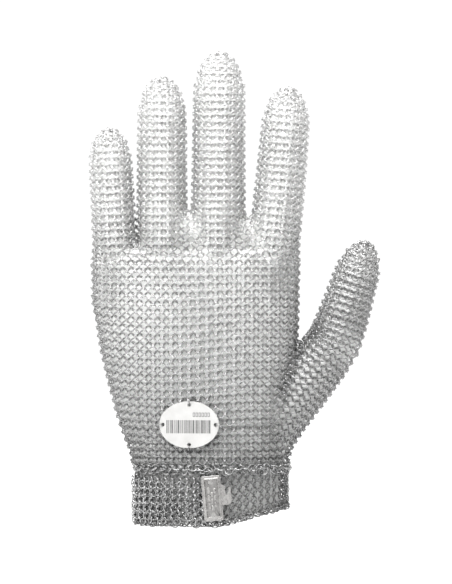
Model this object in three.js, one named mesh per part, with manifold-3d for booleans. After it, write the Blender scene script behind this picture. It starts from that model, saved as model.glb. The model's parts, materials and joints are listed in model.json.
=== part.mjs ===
// A cut resistant glove for the left hand: a sleeve of welded steel rings over a thin knitted liner,
// with a hooked cuff clasp and an oval number tag.
// Millimetres. +Z runs along the fingers, -Y out of the back of the hand, +X towards the thumb.
// The origin is the centre of the wrist opening. Ring mesh and liner are closed plain sleeves here.
import * as THREE from "three";
import { mergeVertices } from "three/addons/utils/BufferGeometryUtils.js";
import Module from "manifold-3d";

// Sheets and gaps
const MESH_WALL = 1.2; // ring mesh, as a plain sheet
const LINER_WALL = 0.5;
const LINER_GAP = 0.4; // between the ring mesh and the liner
const CLEAR = 0.4; // between sleeves that turn inside one another
const NEST = MESH_WALL + CLEAR; // a nested sleeve is smaller than the one around it by this much

// Digits: half_depth is measured at each joint, from the back of the digit to its middle.
// tilt leans each length towards the thumb side, roll turns the way it curls away from the palm.
const FINGER_WIDEN = 1.11; // a finger is this much wider than it is deep
const FINGER_Y = -4.5;
const FINGER_SIDES = 18;
const MOUTH_MARGIN = 1.1;
const MOUTH_REACH = 60; // how far a mouth's cut runs past the joint
const MOUTH_PLAY = 0.1;
const BENT_AT_REST = 5; // degrees between two lengths from which the mouth allows for it
const VISOR = 2.0; // how far a sleeve's back reaches past the joint
const PASSAGE = 0.78; // opening at the foot of a nested sleeve, as a share of its half depth
const SHOULDER = 0.9; // how far up the neck spreads to the sleeve's full size
const SHOULDER_INSIDE = 0.5; // the same shoulder's inner faces lie this much higher
const NECK_INSIDE = 0.2;
const LINER_ABOVE_SHOULDER = 1.2;
const TIP_TAPER = 0.4;
const DOME_ANGLES = [0, 25, 50, 72, 90];
const DOME_DEPTH = 1.15; // depth of a fingertip's rounding, as a share of its radius
const DIGITS = {
  little: {
    base: [-45.7, FINGER_Y, 121],
    tilt: [-3, -3, -3],
    length: [26, 17.5, 18.5],
    half_depth: [8.9, 8.9, 8.5],
  },
  ring: {
    base: [-24.4, FINGER_Y, 132],
    tilt: [0, 0, 0],
    length: [32, 22, 20.5],
    half_depth: [10.1, 10.1, 9.6],
  },
  middle: {
    base: [1.4, FINGER_Y, 133],
    tilt: [0.5, 0.5, 0.5],
    length: [36, 26, 23],
    half_depth: [10.9, 10.8, 10.2],
  },
  index: {
    base: [27.2, FINGER_Y, 130],
    tilt: [6, 5, 4],
    length: [31, 21, 20],
    half_depth: [10.4, 10.1, 9.5],
  },
};
const FINGER_BEND = { low: [-15, 0, 0], high: [80, 90, 50] };
const THUMB = {
  base: [33, 1.5, 55],
  tilt: [38, 17.5, 12.5],
  length: [36.5, 23, 25.5],
  half_depth: [14, 12.2, 10.8],
};
const THUMB_ROLL = 20;
const THUMB_BEND = { low: [-10, -5, 0], high: [15, 35, 60] };
const LENGTH_NAMES = { finger: ["proximal", "middle", "tip"], thumb: ["root", "proximal", "tip"] };

// The cuff's oval, which the foot of the palm follows
const CUFF_X = -1.5;
const CUFF_HALF_WIDTH = 35.5;
const CUFF_HALF_DEPTH = 19.5;

// Palm: half widths and half depths at each height, from the wrist joint to the foot of the fingers
const WRIST_Z = 34;
const PALM_SIDES = 36;
const PALM_SECTIONS = [
  { z: 36, x: -2.3, y: 0, half_width: CUFF_HALF_WIDTH + 1.5, half_depth: CUFF_HALF_DEPTH, square: 2 },
  {
    z: 50,
    x: -3.8,
    y: -0.5,
    half_width: CUFF_HALF_WIDTH + 4.2,
    half_depth: CUFF_HALF_DEPTH - 0.5,
    square: 2.1,
  },
  { z: 75, x: -6.6, y: -1.6, half_width: 44.4, half_depth: 17.4, square: 2.3 },
  { z: 100, x: -7.9, y: -3, half_width: 48.2, half_depth: 15.2, square: 2.6 },
  { z: 126, x: -8.8, y: -4.2, half_width: 47.8, half_depth: 12.4, square: 3 },
];
const PALM_LINER = { from: 42, to: 106 };
const SOCKET_DEPTH = 16;
const THUMB_ROOM = 45; // how far up the thumb the palm is kept clear of it
const THUMB_SWING_STEPS = 4;
const THUMB_PLAY = 0.2;
const THUMB_SHOULDER_PLAY = 0.3;
const THUMB_NECK = { from: -2, to: 8 };
const FOOT_RISE = { outside: 2, inside: 6 }; // how far the wrist foot runs up into the palm
const FOOT_DROP = 6; // how far the hollow runs down out of the wrist foot

// Cuff
const CUFF_HEIGHT = { back: 25.2, palm: 22.6 }; // the palm side is lower, to let the wrist bend
const CUFF_RISE = 8; // the lower edge rises by this much at the thumb side
const CUFF_RISE_FROM = 2;
const CUFF_SIDES = 40;
const EDGE_CUT = { depth: 80, below: 5 };
const SLIT = { x: -12, width: 5 };
const SLIT_CUT = { depth: 30, height: 80, y: -17, z: 30 };
const CUFF_LINER = { hem: 1.5, top_gap: 0.3, slit_gap: 1 };
const WRIST_PASSAGE = 0.86; // opening at the palm's foot, as a share of its half depth

// Flap, on the outside of the cuff, hinged at the little finger side
const FLAP = { from: 1.2, to: 23.8, start: 180, end: 259 };
const FLAP_ROOT_GAP = 1.0;
const FLAP_WEDGE = { steps: 8, radius: 80, height: 60, from: -10 };
const FLAP_CLASP_ROOM = { extra_height: 4, corner: 1, near: -5, far: 5 };

// Clasp
const CLASP = { width: 8.8, height: 20.6, x: -1.2, z: 13.2, lean: 5, plate: 0.7, panel: 0.7, margin: 1.3 };
const CLASP_STAND_OFF = 1.0; // room behind the plate for the rivets' closed ends
const CLASP_CORNER = 1;
const CLASP_COVER_GAP = 0.3;
const CLASP_COVER = { wider: 0.6, corner: 0.8 };
const HOOK = {
  reach: 4.4,
  foot: -3.4,
  height: 9.2,
  bar: 2.0,
  root: 0.4,
  round: 0.8,
  lip: 1.5,
  lip_drop: 0.9,
};
const HOOK_THROAT = { high: 2.4, low: 1.9 }; // in bars above the foot
const RIVET = { radius: 0.9, head_radius: 1.4, head: 0.35, gap: 0.3, from_end: 2.6, sides: 12 };
const RIVET_HOLE_LENGTH = 6;

// Tag
const TAG = { width: 27.4, height: 21.4, thickness: 0.8, x: -11.7, z: 46.7, yaw: 6.5, pitch: -1.5 };
const TAG_STAND_OFF = 0.8;
const TAG_HOLE = { radius: 0.85, from_edge: 1.6 };
const TAG_RING = { middle: 1.5, wire: 0.25, sides: 6, steps: 14 };
const TIE_ROOM = 0.5; // clear round a tie ring where it goes through the mesh and the liner
const BEYOND = 200; // a cutter of this size reaches past the glove on every side
const OUTSIDE = 0.5; // of a unit circle: a corner further out than this is on the rim

const steel = new THREE.MeshStandardMaterial({ color: 0xb9bcba, roughness: 0.35, metalness: 1 });
const knit = new THREE.MeshStandardMaterial({ color: 0xe9e8e3, roughness: 0.95, metalness: 0 });
const plate = new THREE.MeshStandardMaterial({ color: 0xc4c4c0, roughness: 0.4, metalness: 1 });
const white = new THREE.MeshStandardMaterial({ color: 0xf2f0ec, roughness: 0.45, metalness: 0 });

const wasm = await Module();
wasm.setup();
const glove = new THREE.Group();
const degrees = THREE.MathUtils.degToRad;

// ---- solids ----

function solidOf(geometry, matrix = new THREE.Matrix4()) {
  const bare = geometry.index ? geometry.toNonIndexed() : geometry.clone();
  const places = new THREE.BufferGeometry().setAttribute("position", bare.getAttribute("position"));
  const merged = mergeVertices(places.applyMatrix4(matrix), 1e-4);
  return new wasm.Manifold(
    new wasm.Mesh({
      numProp: 3,
      vertProperties: merged.attributes.position.array,
      triVerts: new Uint32Array(merged.index.array),
    }),
  );
}

function geometryOf(solid) {
  const made = solid.getMesh();
  const stride = made.numProp;
  const places = new Float32Array(made.numVert * 3);
  for (let i = 0; i < made.numVert; i++)
    places.set(made.vertProperties.subarray(i * stride, i * stride + 3), i * 3);
  const geometry = new THREE.BufferGeometry()
    .setAttribute("position", new THREE.BufferAttribute(places, 3))
    .setIndex(new THREE.BufferAttribute(new Uint32Array(made.triVerts), 1));
  const flat = geometry.toNonIndexed();
  flat.computeVertexNormals();
  return flat;
}

function add(name, shape, material, parent = glove) {
  const geometry = shape.isBufferGeometry ? shape : geometryOf(shape);
  const mesh = new THREE.Mesh(geometry, material);
  mesh.name = name;
  parent.add(mesh);
  return mesh;
}

// A round sleeve about Z from [radius, z] points that run up its outside.
function turned(points, sides) {
  const profile = points.map(([radius, z]) => new THREE.Vector2(radius, z));
  return new THREE.LatheGeometry(profile, sides).rotateX(Math.PI / 2);
}

function arc(radius, from, to, steps) {
  const points = [];
  for (let i = 0; i <= steps; i++) {
    const angle = degrees(from + ((to - from) * i) / steps);
    points.push([radius * Math.sin(angle), -radius * Math.cos(angle)]);
  }
  return points;
}

// ---- digit sleeves, each built with its joint at the origin, its length along +Z and its curl to +Y ----

const PASSAGE_ANGLE = THREE.MathUtils.radToDeg(Math.asin(PASSAGE));
const NECK_TOP = VISOR + CLEAR;

function sleeveSolid(start, end, length, isTip, widen) {
  const ball = start - NEST;
  const outside = [
    ...arc(ball, PASSAGE_ANGLE, 90, 3),
    [ball, NECK_TOP],
    [start, NECK_TOP + SHOULDER],
  ];
  const inside = [
    [start - MESH_WALL, NECK_TOP + SHOULDER + SHOULDER_INSIDE],
    [ball - MESH_WALL, NECK_TOP + NECK_INSIDE],
    ...arc(ball - MESH_WALL, 90, PASSAGE_ANGLE, 2),
  ];
  let points;
  if (isTip) {
    const hollow = dome(end - MESH_WALL, length - MESH_WALL).reverse();
    points = [...outside, ...dome(end, length), ...hollow, ...inside];
  } else {
    const top = length + VISOR;
    points = [...outside, [end, top], [end - MESH_WALL, top], ...inside];
  }
  points.push(points[0]);
  return solidOf(turned(points, FINGER_SIDES), new THREE.Matrix4().makeScale(widen, 1, 1));
}

// The rounded end of a tip, from its side to the axis.
function dome(radius, length) {
  const points = [];
  for (const angle of DOME_ANGLES) {
    const turn = degrees(angle);
    points.push([radius * Math.cos(turn), length - radius * DOME_DEPTH * (1 - Math.sin(turn))]);
  }
  points[points.length - 1][0] = 0;
  return points;
}

function linerSolid(start, end, length, isTip, widen) {
  const inset = MESH_WALL + LINER_GAP;
  const low = NECK_TOP + SHOULDER + LINER_ABOVE_SHOULDER;
  const foot = start - inset;
  const head = end - inset;
  let points;
  if (isTip) {
    const cap = dome(head, length - inset);
    const hollow = dome(head - LINER_WALL, length - inset - LINER_WALL).reverse();
    points = [[foot, low], ...cap, ...hollow, [foot - LINER_WALL, low]];
  } else {
    const high = length - end - CLEAR;
    const share = (high - low) / (length + VISOR - low);
    const top = foot + (head - foot) * share;
    points = [[foot, low], [top, high], [top - LINER_WALL, high], [foot - LINER_WALL, low]];
  }
  points.push(points[0]);
  return solidOf(turned(points, FINGER_SIDES), new THREE.Matrix4().makeScale(widen, 1, 1));
}

// What a joint's mouth removes: all above a plane that is low on the curl side and high at the back.
function mouthCutter(radius, low, high, restBend, width) {
  const curl = -radius * Math.tan(degrees((high + restBend) / 2)) - MOUTH_MARGIN;
  const opensBack = low < 0 || restBend > 0;
  const lean = -radius * Math.tan(degrees(-low / 2)) - MOUTH_MARGIN;
  const back = opensBack ? lean : VISOR - MOUTH_PLAY;
  const slope = Math.atan2(curl - back, 2 * radius);
  const matrix = new THREE.Matrix4()
    .makeTranslation(0, 0, (curl + back) / 2)
    .multiply(new THREE.Matrix4().makeRotationX(slope))
    .multiply(new THREE.Matrix4().makeTranslation(0, 0, MOUTH_REACH / 2));
  return solidOf(new THREE.BoxGeometry(width, MOUTH_REACH, MOUTH_REACH), matrix);
}

// The joints of a digit, from its base: where each is, and how its length lies.
function jointsOf(digit, roll) {
  const joints = [];
  const at = new THREE.Vector3(...digit.base);
  digit.length.forEach((length, i) => {
    const turn = new THREE.Matrix4()
      .makeRotationY(degrees(digit.tilt[i]))
      .multiply(new THREE.Matrix4().makeRotationZ(degrees(roll)));
    joints.push({ at: at.clone(), turn });
    at.add(new THREE.Vector3(0, 0, length).applyMatrix4(turn));
  });
  return joints;
}

function placed(joint) {
  return joint.turn.clone().setPosition(joint.at);
}

// Adds the three lengths of a digit, each with a mouth cut in its far end for the next joint's bend.
function addDigit(name, digit, roll, widen, bend, lengthNames) {
  const joints = jointsOf(digit, roll);
  joints.forEach((joint, i) => {
    const isTip = i === 2;
    const start = digit.half_depth[i];
    const end = isTip ? start - TIP_TAPER : digit.half_depth[i + 1];
    const length = digit.length[i];
    let sleeve = sleeveSolid(start, end, length, isTip, widen);
    const liner = linerSolid(start, end, length, isTip, widen);
    if (!isTip) {
      const turn = Math.abs(digit.tilt[i + 1] - digit.tilt[i]);
      const restBend = turn > BENT_AT_REST ? turn : 0;
      const cutter = mouthCutter(start, bend.low[i + 1], bend.high[i + 1], restBend, MOUTH_REACH);
      const moved = new THREE.Matrix4().makeTranslation(0, 0, length).elements;
      sleeve = sleeve.subtract(cutter.transform([...moved]));
    }
    const group = new THREE.Group();
    group.applyMatrix4(placed(joint));
    glove.add(group);
    add(`${name}_${lengthNames[i]}_mesh`, sleeve, steel, group);
    add(`${name}_${lengthNames[i]}_liner`, liner, knit, group);
  });
  return joints;
}

for (const [name, digit] of Object.entries(DIGITS))
  addDigit(name, digit, 0, FINGER_WIDEN, FINGER_BEND, LENGTH_NAMES.finger);
addDigit("thumb", THUMB, THUMB_ROLL, 1, THUMB_BEND, LENGTH_NAMES.thumb);

// ---- palm ----

function sectionAt(angle, section, inset) {
  const power = 2 / section.square;
  const x = Math.sign(Math.cos(angle)) * Math.abs(Math.cos(angle)) ** power;
  const y = Math.sign(Math.sin(angle)) * Math.abs(Math.sin(angle)) ** power;
  return [section.x + x * (section.half_width - inset), section.y + y * (section.half_depth - inset)];
}

// A closed body through the palm's sections, drawn in by inset, from one height to another.
function palmLoft(inset, lift, drop) {
  const rows = PALM_SECTIONS.length - 1;
  const geometry = new THREE.CylinderGeometry(1, 1, 1, PALM_SIDES, rows).rotateX(Math.PI / 2);
  const places = geometry.getAttribute("position");
  for (let i = 0; i < places.count; i++) {
    const row = Math.round((places.getZ(i) + 1 / 2) * rows);
    const section = PALM_SECTIONS[row];
    const radial = Math.hypot(places.getX(i), places.getY(i));
    const angle = Math.atan2(places.getY(i), places.getX(i));
    const [x, y] = sectionAt(angle, section, inset);
    const z = section.z + (row === 0 ? lift : 0) - (row === rows ? drop : 0);
    const isRim = radial > OUTSIDE;
    places.setXYZ(i, isRim ? x : section.x, isRim ? y : section.y, z);
  }
  return solidOf(geometry);
}

// The wrist end of the palm: a round foot that turns inside the cuff.
function wristFoot(depth, halfWidth, top, isOpen) {
  const angle = THREE.MathUtils.radToDeg(Math.asin(WRIST_PASSAGE));
  const foot = arc(depth, angle, 90, 4);
  const [mouth, low] = foot[0];
  const closed = [[0, low]];
  const open = [[0, low - FOOT_DROP], [mouth, low - FOOT_DROP]];
  const points = [...(isOpen ? open : closed), ...foot, [depth, top], [0, top]];
  const matrix = new THREE.Matrix4()
    .makeTranslation(CUFF_X, 0, WRIST_Z)
    .multiply(new THREE.Matrix4().makeScale(halfWidth / depth, 1, 1));
  return solidOf(turned(points, CUFF_SIDES), matrix);
}

function socket(digit, inset) {
  const radius = digit.half_depth[0] - inset;
  const points = [
    [0, -SOCKET_DEPTH + inset],
    [radius, -SOCKET_DEPTH + inset],
    [radius, VISOR],
    [0, VISOR],
  ];
  const matrix = placed(jointsOf(digit, 0)[0]).multiply(new THREE.Matrix4().makeScale(FINGER_WIDEN, 1, 1));
  return solidOf(turned(points, FINGER_SIDES), matrix);
}

// The room that the thumb's root needs in the palm, over the whole of its swing.
function thumbRoom() {
  const joint = jointsOf(THUMB, THUMB_ROLL)[0];
  const radius = THUMB.half_depth[0];
  const grown = radius - NEST + CLEAR;
  let room = solidOf(turned([...arc(grown, 0, 180, 9)], FINGER_SIDES), placed(joint));
  const [low, high] = [THUMB_BEND.low[0], THUMB_BEND.high[0]];
  const shoulder = NECK_TOP - CLEAR - THUMB_SHOULDER_PLAY;
  for (let i = 0; i <= THUMB_SWING_STEPS; i++) {
    const bend = low + ((high - low) * i) / THUMB_SWING_STEPS;
    const wide = radius + CLEAR + THUMB_PLAY;
    const points = [
      [0, shoulder],
      [wide, shoulder],
      [wide, THUMB_ROOM],
      [0, THUMB_ROOM],
    ];
    const { from, to } = THUMB_NECK;
    const neck = [
      [0, from],
      [grown, from],
      [grown, to],
      [0, to],
    ];
    const matrix = placed(joint).multiply(new THREE.Matrix4().makeRotationX(-degrees(bend)));
    room = room.add(solidOf(turned(points, FINGER_SIDES), matrix));
    room = room.add(solidOf(turned(neck, FINGER_SIDES), matrix));
  }
  return room;
}

const TAG_FRAME = new THREE.Matrix4();
{
  const near = PALM_SECTIONS[1];
  const out = (TAG.x - near.x) / near.half_width;
  const y = near.y - near.half_depth * Math.sqrt(1 - out * out) - TAG_STAND_OFF;
  TAG_FRAME.makeTranslation(TAG.x, y, TAG.z)
    .multiply(new THREE.Matrix4().makeRotationZ(degrees(-TAG.yaw)))
    .multiply(new THREE.Matrix4().makeRotationX(degrees(TAG.pitch)));
}

// The four places round the tag's edge: [x, z] of each hole in the tag's frame, and the way out.
const TAG_TIES = {
  top: [0, TAG.height / 2 - TAG_HOLE.from_edge, 0, 1],
  bottom: [0, -TAG.height / 2 + TAG_HOLE.from_edge, 0, -1],
  little_side: [-TAG.width / 2 + TAG_HOLE.from_edge, 0, -1, 0],
  thumb_side: [TAG.width / 2 - TAG_HOLE.from_edge, 0, 1, 0],
};

function tagRing(tie, wire) {
  const [x, z, outX, outZ] = tie;
  const reach = TAG_RING.middle;
  const turn = outZ === 0 ? Math.PI / 2 : 0;
  const matrix = TAG_FRAME.clone()
    .multiply(new THREE.Matrix4().makeTranslation(x + outX * reach, 0, z + outZ * reach))
    .multiply(new THREE.Matrix4().makeRotationY(turn));
  const ring = new THREE.TorusGeometry(TAG_RING.middle, wire, TAG_RING.sides, TAG_RING.steps);
  return solidOf(ring.rotateY(Math.PI / 2), matrix);
}

function palmSolid() {
  let outer = palmLoft(0, 0, 0);
  let inner = palmLoft(MESH_WALL, MESH_WALL, MESH_WALL);
  for (const digit of Object.values(DIGITS)) {
    outer = outer.add(socket(digit, 0));
    inner = inner.add(socket(digit, MESH_WALL));
  }
  const footDepth = CUFF_HALF_DEPTH - NEST;
  const footWidth = CUFF_HALF_WIDTH - NEST;
  const above = PALM_SECTIONS[0].z - WRIST_Z;
  outer = outer.add(wristFoot(footDepth, footWidth, above + FOOT_RISE.outside, false));
  inner = inner.add(
    wristFoot(footDepth - MESH_WALL, footWidth - MESH_WALL, above + FOOT_RISE.inside, true),
  );
  let palm = outer.subtract(inner);
  for (const digit of Object.values(DIGITS)) {
    const radius = digit.half_depth[0];
    const width = 2 * (radius * FINGER_WIDEN + CLEAR);
    const cutter = mouthCutter(radius, FINGER_BEND.low[0], FINGER_BEND.high[0], 0, width);
    palm = palm.subtract(cutter.transform([...placed(jointsOf(digit, 0)[0]).elements]));
  }
  palm = palm.subtract(thumbRoom());
  for (const tie of Object.values(TAG_TIES))
    palm = palm.subtract(tagRing(tie, TAG_RING.wire + TIE_ROOM));
  return palm;
}

// The largest of the bodies that a cut leaves, so that no crumb stays beside the part.
function largest(solid) {
  return solid.decompose().sort((a, b) => b.volume() - a.volume())[0];
}

function slab(from, to) {
  const box = new THREE.BoxGeometry(BEYOND, BEYOND, to - from);
  return solidOf(box, new THREE.Matrix4().makeTranslation(0, 0, (from + to) / 2));
}

function palmLinerSolid() {
  const inset = MESH_WALL + LINER_GAP;
  let liner = palmLoft(inset, 0, 0).subtract(palmLoft(inset + LINER_WALL, -1, -1));
  liner = liner.intersect(slab(PALM_LINER.from, PALM_LINER.to)).subtract(thumbRoom());
  for (const tie of Object.values(TAG_TIES))
    liner = liner.subtract(tagRing(tie, TAG_RING.wire + TIE_ROOM));
  return largest(liner);
}

add("palm_mesh", largest(palmSolid()), steel);
add("palm_liner", palmLinerSolid(), knit);

// ---- number tag ----

function tagSolid() {
  const outline = new THREE.Shape().absellipse(0, 0, TAG.width / 2, TAG.height / 2, 0, 2 * Math.PI);
  for (const [x, z] of Object.values(TAG_TIES)) {
    const hole = new THREE.Path().absellipse(x, z, TAG_HOLE.radius, TAG_HOLE.radius, 0, 2 * Math.PI);
    outline.holes.push(hole);
  }
  const options = { depth: TAG.thickness, bevelEnabled: false, curveSegments: 20 };
  const geometry = new THREE.ExtrudeGeometry(outline, options);
  geometry.translate(0, 0, -TAG.thickness / 2).rotateX(Math.PI / 2);
  return solidOf(geometry, TAG_FRAME);
}

add("tag_plate", tagSolid(), white);
for (const [name, tie] of Object.entries(TAG_TIES))
  add(`tag_ring_${name}`, tagRing(tie, TAG_RING.wire), steel);

// ---- cuff and flap ----

function ellipseTube(inset, wall, from, to) {
  const depth = CUFF_HALF_DEPTH - inset;
  const points = [
    [depth, from],
    [depth, to],
    [depth - wall, to],
    [depth - wall, from],
  ];
  points.push(points[0]);
  const geometry = turned(points, CUFF_SIDES);
  const places = geometry.getAttribute("position");
  for (let i = 0; i < places.count; i++) {
    const radial = Math.hypot(places.getX(i), places.getY(i));
    const wide = radial + CUFF_HALF_WIDTH - CUFF_HALF_DEPTH;
    places.setX(i, CUFF_X + (places.getX(i) / radial) * wide);
  }
  return solidOf(geometry);
}

// What lies under the cuff's lower edge, which rises towards the thumb side.
function underEdge() {
  const run = CUFF_X + CUFF_HALF_WIDTH - CUFF_RISE_FROM;
  const shape = new THREE.Shape([
    new THREE.Vector2(CUFF_RISE_FROM, 0),
    new THREE.Vector2(CUFF_RISE_FROM, -EDGE_CUT.below),
    new THREE.Vector2(CUFF_RISE_FROM + 2 * run, -EDGE_CUT.below),
    new THREE.Vector2(CUFF_RISE_FROM + 2 * run, 2 * CUFF_RISE),
  ]);
  const { depth } = EDGE_CUT;
  const geometry = new THREE.ExtrudeGeometry(shape, { depth, bevelEnabled: false });
  return solidOf(geometry.translate(0, 0, -depth / 2).rotateX(Math.PI / 2));
}

function slitCutter(extra) {
  const box = new THREE.BoxGeometry(SLIT.width + 2 * extra, SLIT_CUT.depth, SLIT_CUT.height);
  return solidOf(box, new THREE.Matrix4().makeTranslation(SLIT.x, SLIT_CUT.y, SLIT_CUT.z));
}

// What lies above the cuff's upper edge, which slopes from the back of the wrist to the palm side.
function overEdge() {
  const slope = Math.atan2(CUFF_HEIGHT.palm - CUFF_HEIGHT.back, 2 * CUFF_HALF_DEPTH);
  const middle = (CUFF_HEIGHT.palm + CUFF_HEIGHT.back) / 2;
  const matrix = new THREE.Matrix4()
    .makeTranslation(0, 0, middle)
    .multiply(new THREE.Matrix4().makeRotationX(slope))
    .multiply(new THREE.Matrix4().makeTranslation(0, 0, BEYOND / 2));
  return solidOf(new THREE.BoxGeometry(BEYOND, BEYOND, BEYOND), matrix);
}

const cuff = ellipseTube(0, MESH_WALL, 0, CUFF_HEIGHT.back + 1)
  .subtract(overEdge())
  .subtract(underEdge())
  .subtract(slitCutter(0));
add("cuff_mesh", cuff, steel);

const cuffLinerTop = WRIST_Z - (CUFF_HALF_DEPTH - NEST) - CUFF_LINER.top_gap;
const cuffLiner = ellipseTube(MESH_WALL + LINER_GAP, LINER_WALL, CUFF_LINER.hem, cuffLinerTop)
  .subtract(underEdge().translate([0, 0, CUFF_LINER.hem]))
  .subtract(slitCutter(CUFF_LINER.slit_gap));
add("cuff_liner", cuffLiner, knit);

// A wedge of the flap's sweep round the cuff, seen from above.
function flapSector() {
  const points = [new THREE.Vector2(0, 0)];
  const { steps, radius, height, from } = FLAP_WEDGE;
  for (let i = 0; i <= steps; i++) {
    const angle = degrees(FLAP.start + ((FLAP.end - FLAP.start) * i) / steps);
    points.push(new THREE.Vector2(radius * Math.cos(angle), radius * Math.sin(angle)));
  }
  const options = { depth: height, bevelEnabled: false };
  const geometry = new THREE.ExtrudeGeometry(new THREE.Shape(points), options);
  return solidOf(geometry.translate(CUFF_X, 0, from));
}

// The flap stops short of the cuff at its hinge, and short of the clasp plate at its free edge.
function flapSolid() {
  const hingeGap = solidOf(new THREE.BoxGeometry(BEYOND, 2 * FLAP_ROOT_GAP, BEYOND));
  const { extra_height, corner, near, far } = FLAP_CLASP_ROOM;
  const face = rectangle(CLASP.width + 2 * CLEAR, CLASP.height + extra_height, corner);
  const claspRoom = stamped(face, near, far);
  return ellipseTube(-CLEAR - MESH_WALL, MESH_WALL, FLAP.from, FLAP.to)
    .intersect(flapSector())
    .subtract(hingeGap)
    .subtract(claspRoom);
}

// ---- clasp ----

const CLASP_Y = -CUFF_HALF_DEPTH - CLASP_STAND_OFF;
const CLASP_FRAME = new THREE.Matrix4()
  .makeTranslation(CLASP.x, CLASP_Y, CLASP.z)
  .multiply(new THREE.Matrix4().makeRotationY(degrees(-CLASP.lean)));

// A flat piece from an outline in the clasp's face, between two depths out from the cuff.
function stamped(shape, near, far) {
  const options = { depth: far - near, bevelEnabled: false, curveSegments: 6 };
  const geometry = new THREE.ExtrudeGeometry(shape, options);
  geometry.rotateX(Math.PI / 2).translate(0, -near, 0);
  return solidOf(geometry, CLASP_FRAME);
}

function rectangle(width, height, corner) {
  const w = width / 2;
  const h = height / 2;
  const shape = new THREE.Shape().moveTo(-w + corner, -h);
  shape.lineTo(w - corner, -h).absarc(w - corner, -h + corner, corner, -Math.PI / 2, 0);
  shape.lineTo(w, h - corner).absarc(w - corner, h - corner, corner, 0, Math.PI / 2);
  shape.lineTo(-w + corner, h).absarc(-w + corner, h - corner, corner, Math.PI / 2, Math.PI);
  shape.lineTo(-w, -h + corner).absarc(-w + corner, -h + corner, corner, Math.PI, 1.5 * Math.PI);
  return shape;
}

// The hook stands out of the plate's thumb side and opens upwards.
function hookShape() {
  const root = CLASP.width / 2 - HOOK.root;
  const out = CLASP.width / 2 + HOOK.reach;
  const foot = HOOK.foot;
  const top = foot + HOOK.height;
  const inner = out - HOOK.bar;
  const lip = out - HOOK.lip;
  const throatHigh = foot + HOOK_THROAT.high * HOOK.bar;
  const throatLow = foot + HOOK_THROAT.low * HOOK.bar;
  const shape = new THREE.Shape().moveTo(root, foot);
  shape.lineTo(inner, foot).quadraticCurveTo(out, foot, out, foot + HOOK.bar);
  shape.lineTo(out, top - HOOK.round).quadraticCurveTo(out, top, out - HOOK.round, top);
  shape.quadraticCurveTo(lip, top, lip, top - HOOK.lip_drop);
  shape.lineTo(inner, throatHigh).quadraticCurveTo(inner, throatLow, root, throatLow);
  return shape;
}

function rivetHoles(grow) {
  const z = CLASP.height / 2 - RIVET.from_end;
  return [z, -z].map((at) => {
    const radius = RIVET.radius + grow;
    const round = new THREE.CylinderGeometry(radius, radius, RIVET_HOLE_LENGTH, RIVET.sides);
    return solidOf(round.translate(0, 0, at), CLASP_FRAME);
  });
}

add("cuff_flap_mesh", largest(flapSolid()), steel);
const hookPlate = stamped(rectangle(CLASP.width, CLASP.height, CLASP_CORNER), 0, CLASP.plate).add(
  stamped(hookShape(), 0, CLASP.plate),
);
const coverNear = CLASP.plate + CLASP_COVER_GAP;
const coverFar = coverNear + CLASP.panel;
const coverShape = rectangle(
  CLASP.width - 2 * CLASP.margin + CLASP_COVER.wider,
  CLASP.height - 2 * CLASP.margin,
  CLASP_COVER.corner,
);
const holes = rivetHoles(RIVET.gap);
add("clasp_hook_plate", hookPlate.subtract(holes[0]).subtract(holes[1]), plate);
add("clasp_cover", stamped(coverShape, coverNear, coverFar).subtract(holes[0]).subtract(holes[1]), plate);

// A rivet through the plate and the cover: a shank between two wider ends.
function rivet(at) {
  const front = -coverFar - RIVET.gap;
  const profile = [
    [0, front - RIVET.head],
    [RIVET.head_radius, front - RIVET.head],
    [RIVET.head_radius, front],
    [RIVET.radius, front],
    [RIVET.radius, RIVET.gap],
    [RIVET.head_radius, RIVET.gap],
    [RIVET.head_radius, RIVET.gap + RIVET.head],
    [0, RIVET.gap + RIVET.head],
  ].map(([radius, y]) => new THREE.Vector2(radius, y));
  return solidOf(new THREE.LatheGeometry(profile, RIVET.sides).translate(0, 0, at), CLASP_FRAME);
}

const rivetAt = CLASP.height / 2 - RIVET.from_end;
add("clasp_rivet_upper", rivet(rivetAt), plate);
add("clasp_rivet_lower", rivet(-rivetAt), plate);

export default glove;
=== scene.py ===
"""A ring mesh glove for the left hand, worn shape, with its cuff flap, hook clasp and number tag.

Lengths in the tables below are millimetres in the frame's own axes: +Z from wrist to fingertips,
-Y out of the back of the hand, +X towards the thumb. Meshes are made in metres.
"""

import json
import math
import random

import bmesh
import bpy
import numpy as np
from mathutils import Matrix, Vector
from mathutils.kdtree import KDTree


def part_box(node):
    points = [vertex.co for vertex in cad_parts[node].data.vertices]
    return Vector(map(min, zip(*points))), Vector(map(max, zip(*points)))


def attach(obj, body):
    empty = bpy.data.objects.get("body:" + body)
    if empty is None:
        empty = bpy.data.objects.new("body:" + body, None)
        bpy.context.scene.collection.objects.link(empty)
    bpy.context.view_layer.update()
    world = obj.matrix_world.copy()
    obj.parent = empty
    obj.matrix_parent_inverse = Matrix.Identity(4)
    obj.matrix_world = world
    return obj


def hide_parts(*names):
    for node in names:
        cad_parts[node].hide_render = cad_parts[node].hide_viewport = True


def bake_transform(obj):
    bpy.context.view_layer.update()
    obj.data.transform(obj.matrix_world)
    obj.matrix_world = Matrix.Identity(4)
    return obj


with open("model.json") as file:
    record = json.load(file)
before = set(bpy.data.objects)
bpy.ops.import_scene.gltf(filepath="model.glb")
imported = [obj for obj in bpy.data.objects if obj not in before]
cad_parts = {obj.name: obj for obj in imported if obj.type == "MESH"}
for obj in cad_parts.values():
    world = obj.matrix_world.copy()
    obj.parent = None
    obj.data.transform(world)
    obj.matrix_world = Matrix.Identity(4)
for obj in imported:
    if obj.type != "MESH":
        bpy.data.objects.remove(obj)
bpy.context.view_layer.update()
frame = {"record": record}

MM = 0.001
JOINTS = {j["name"]: j for j in frame["record"]["behaviour"]["joints"]}

# ---- the wire ring and how the rings hang together ----

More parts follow.
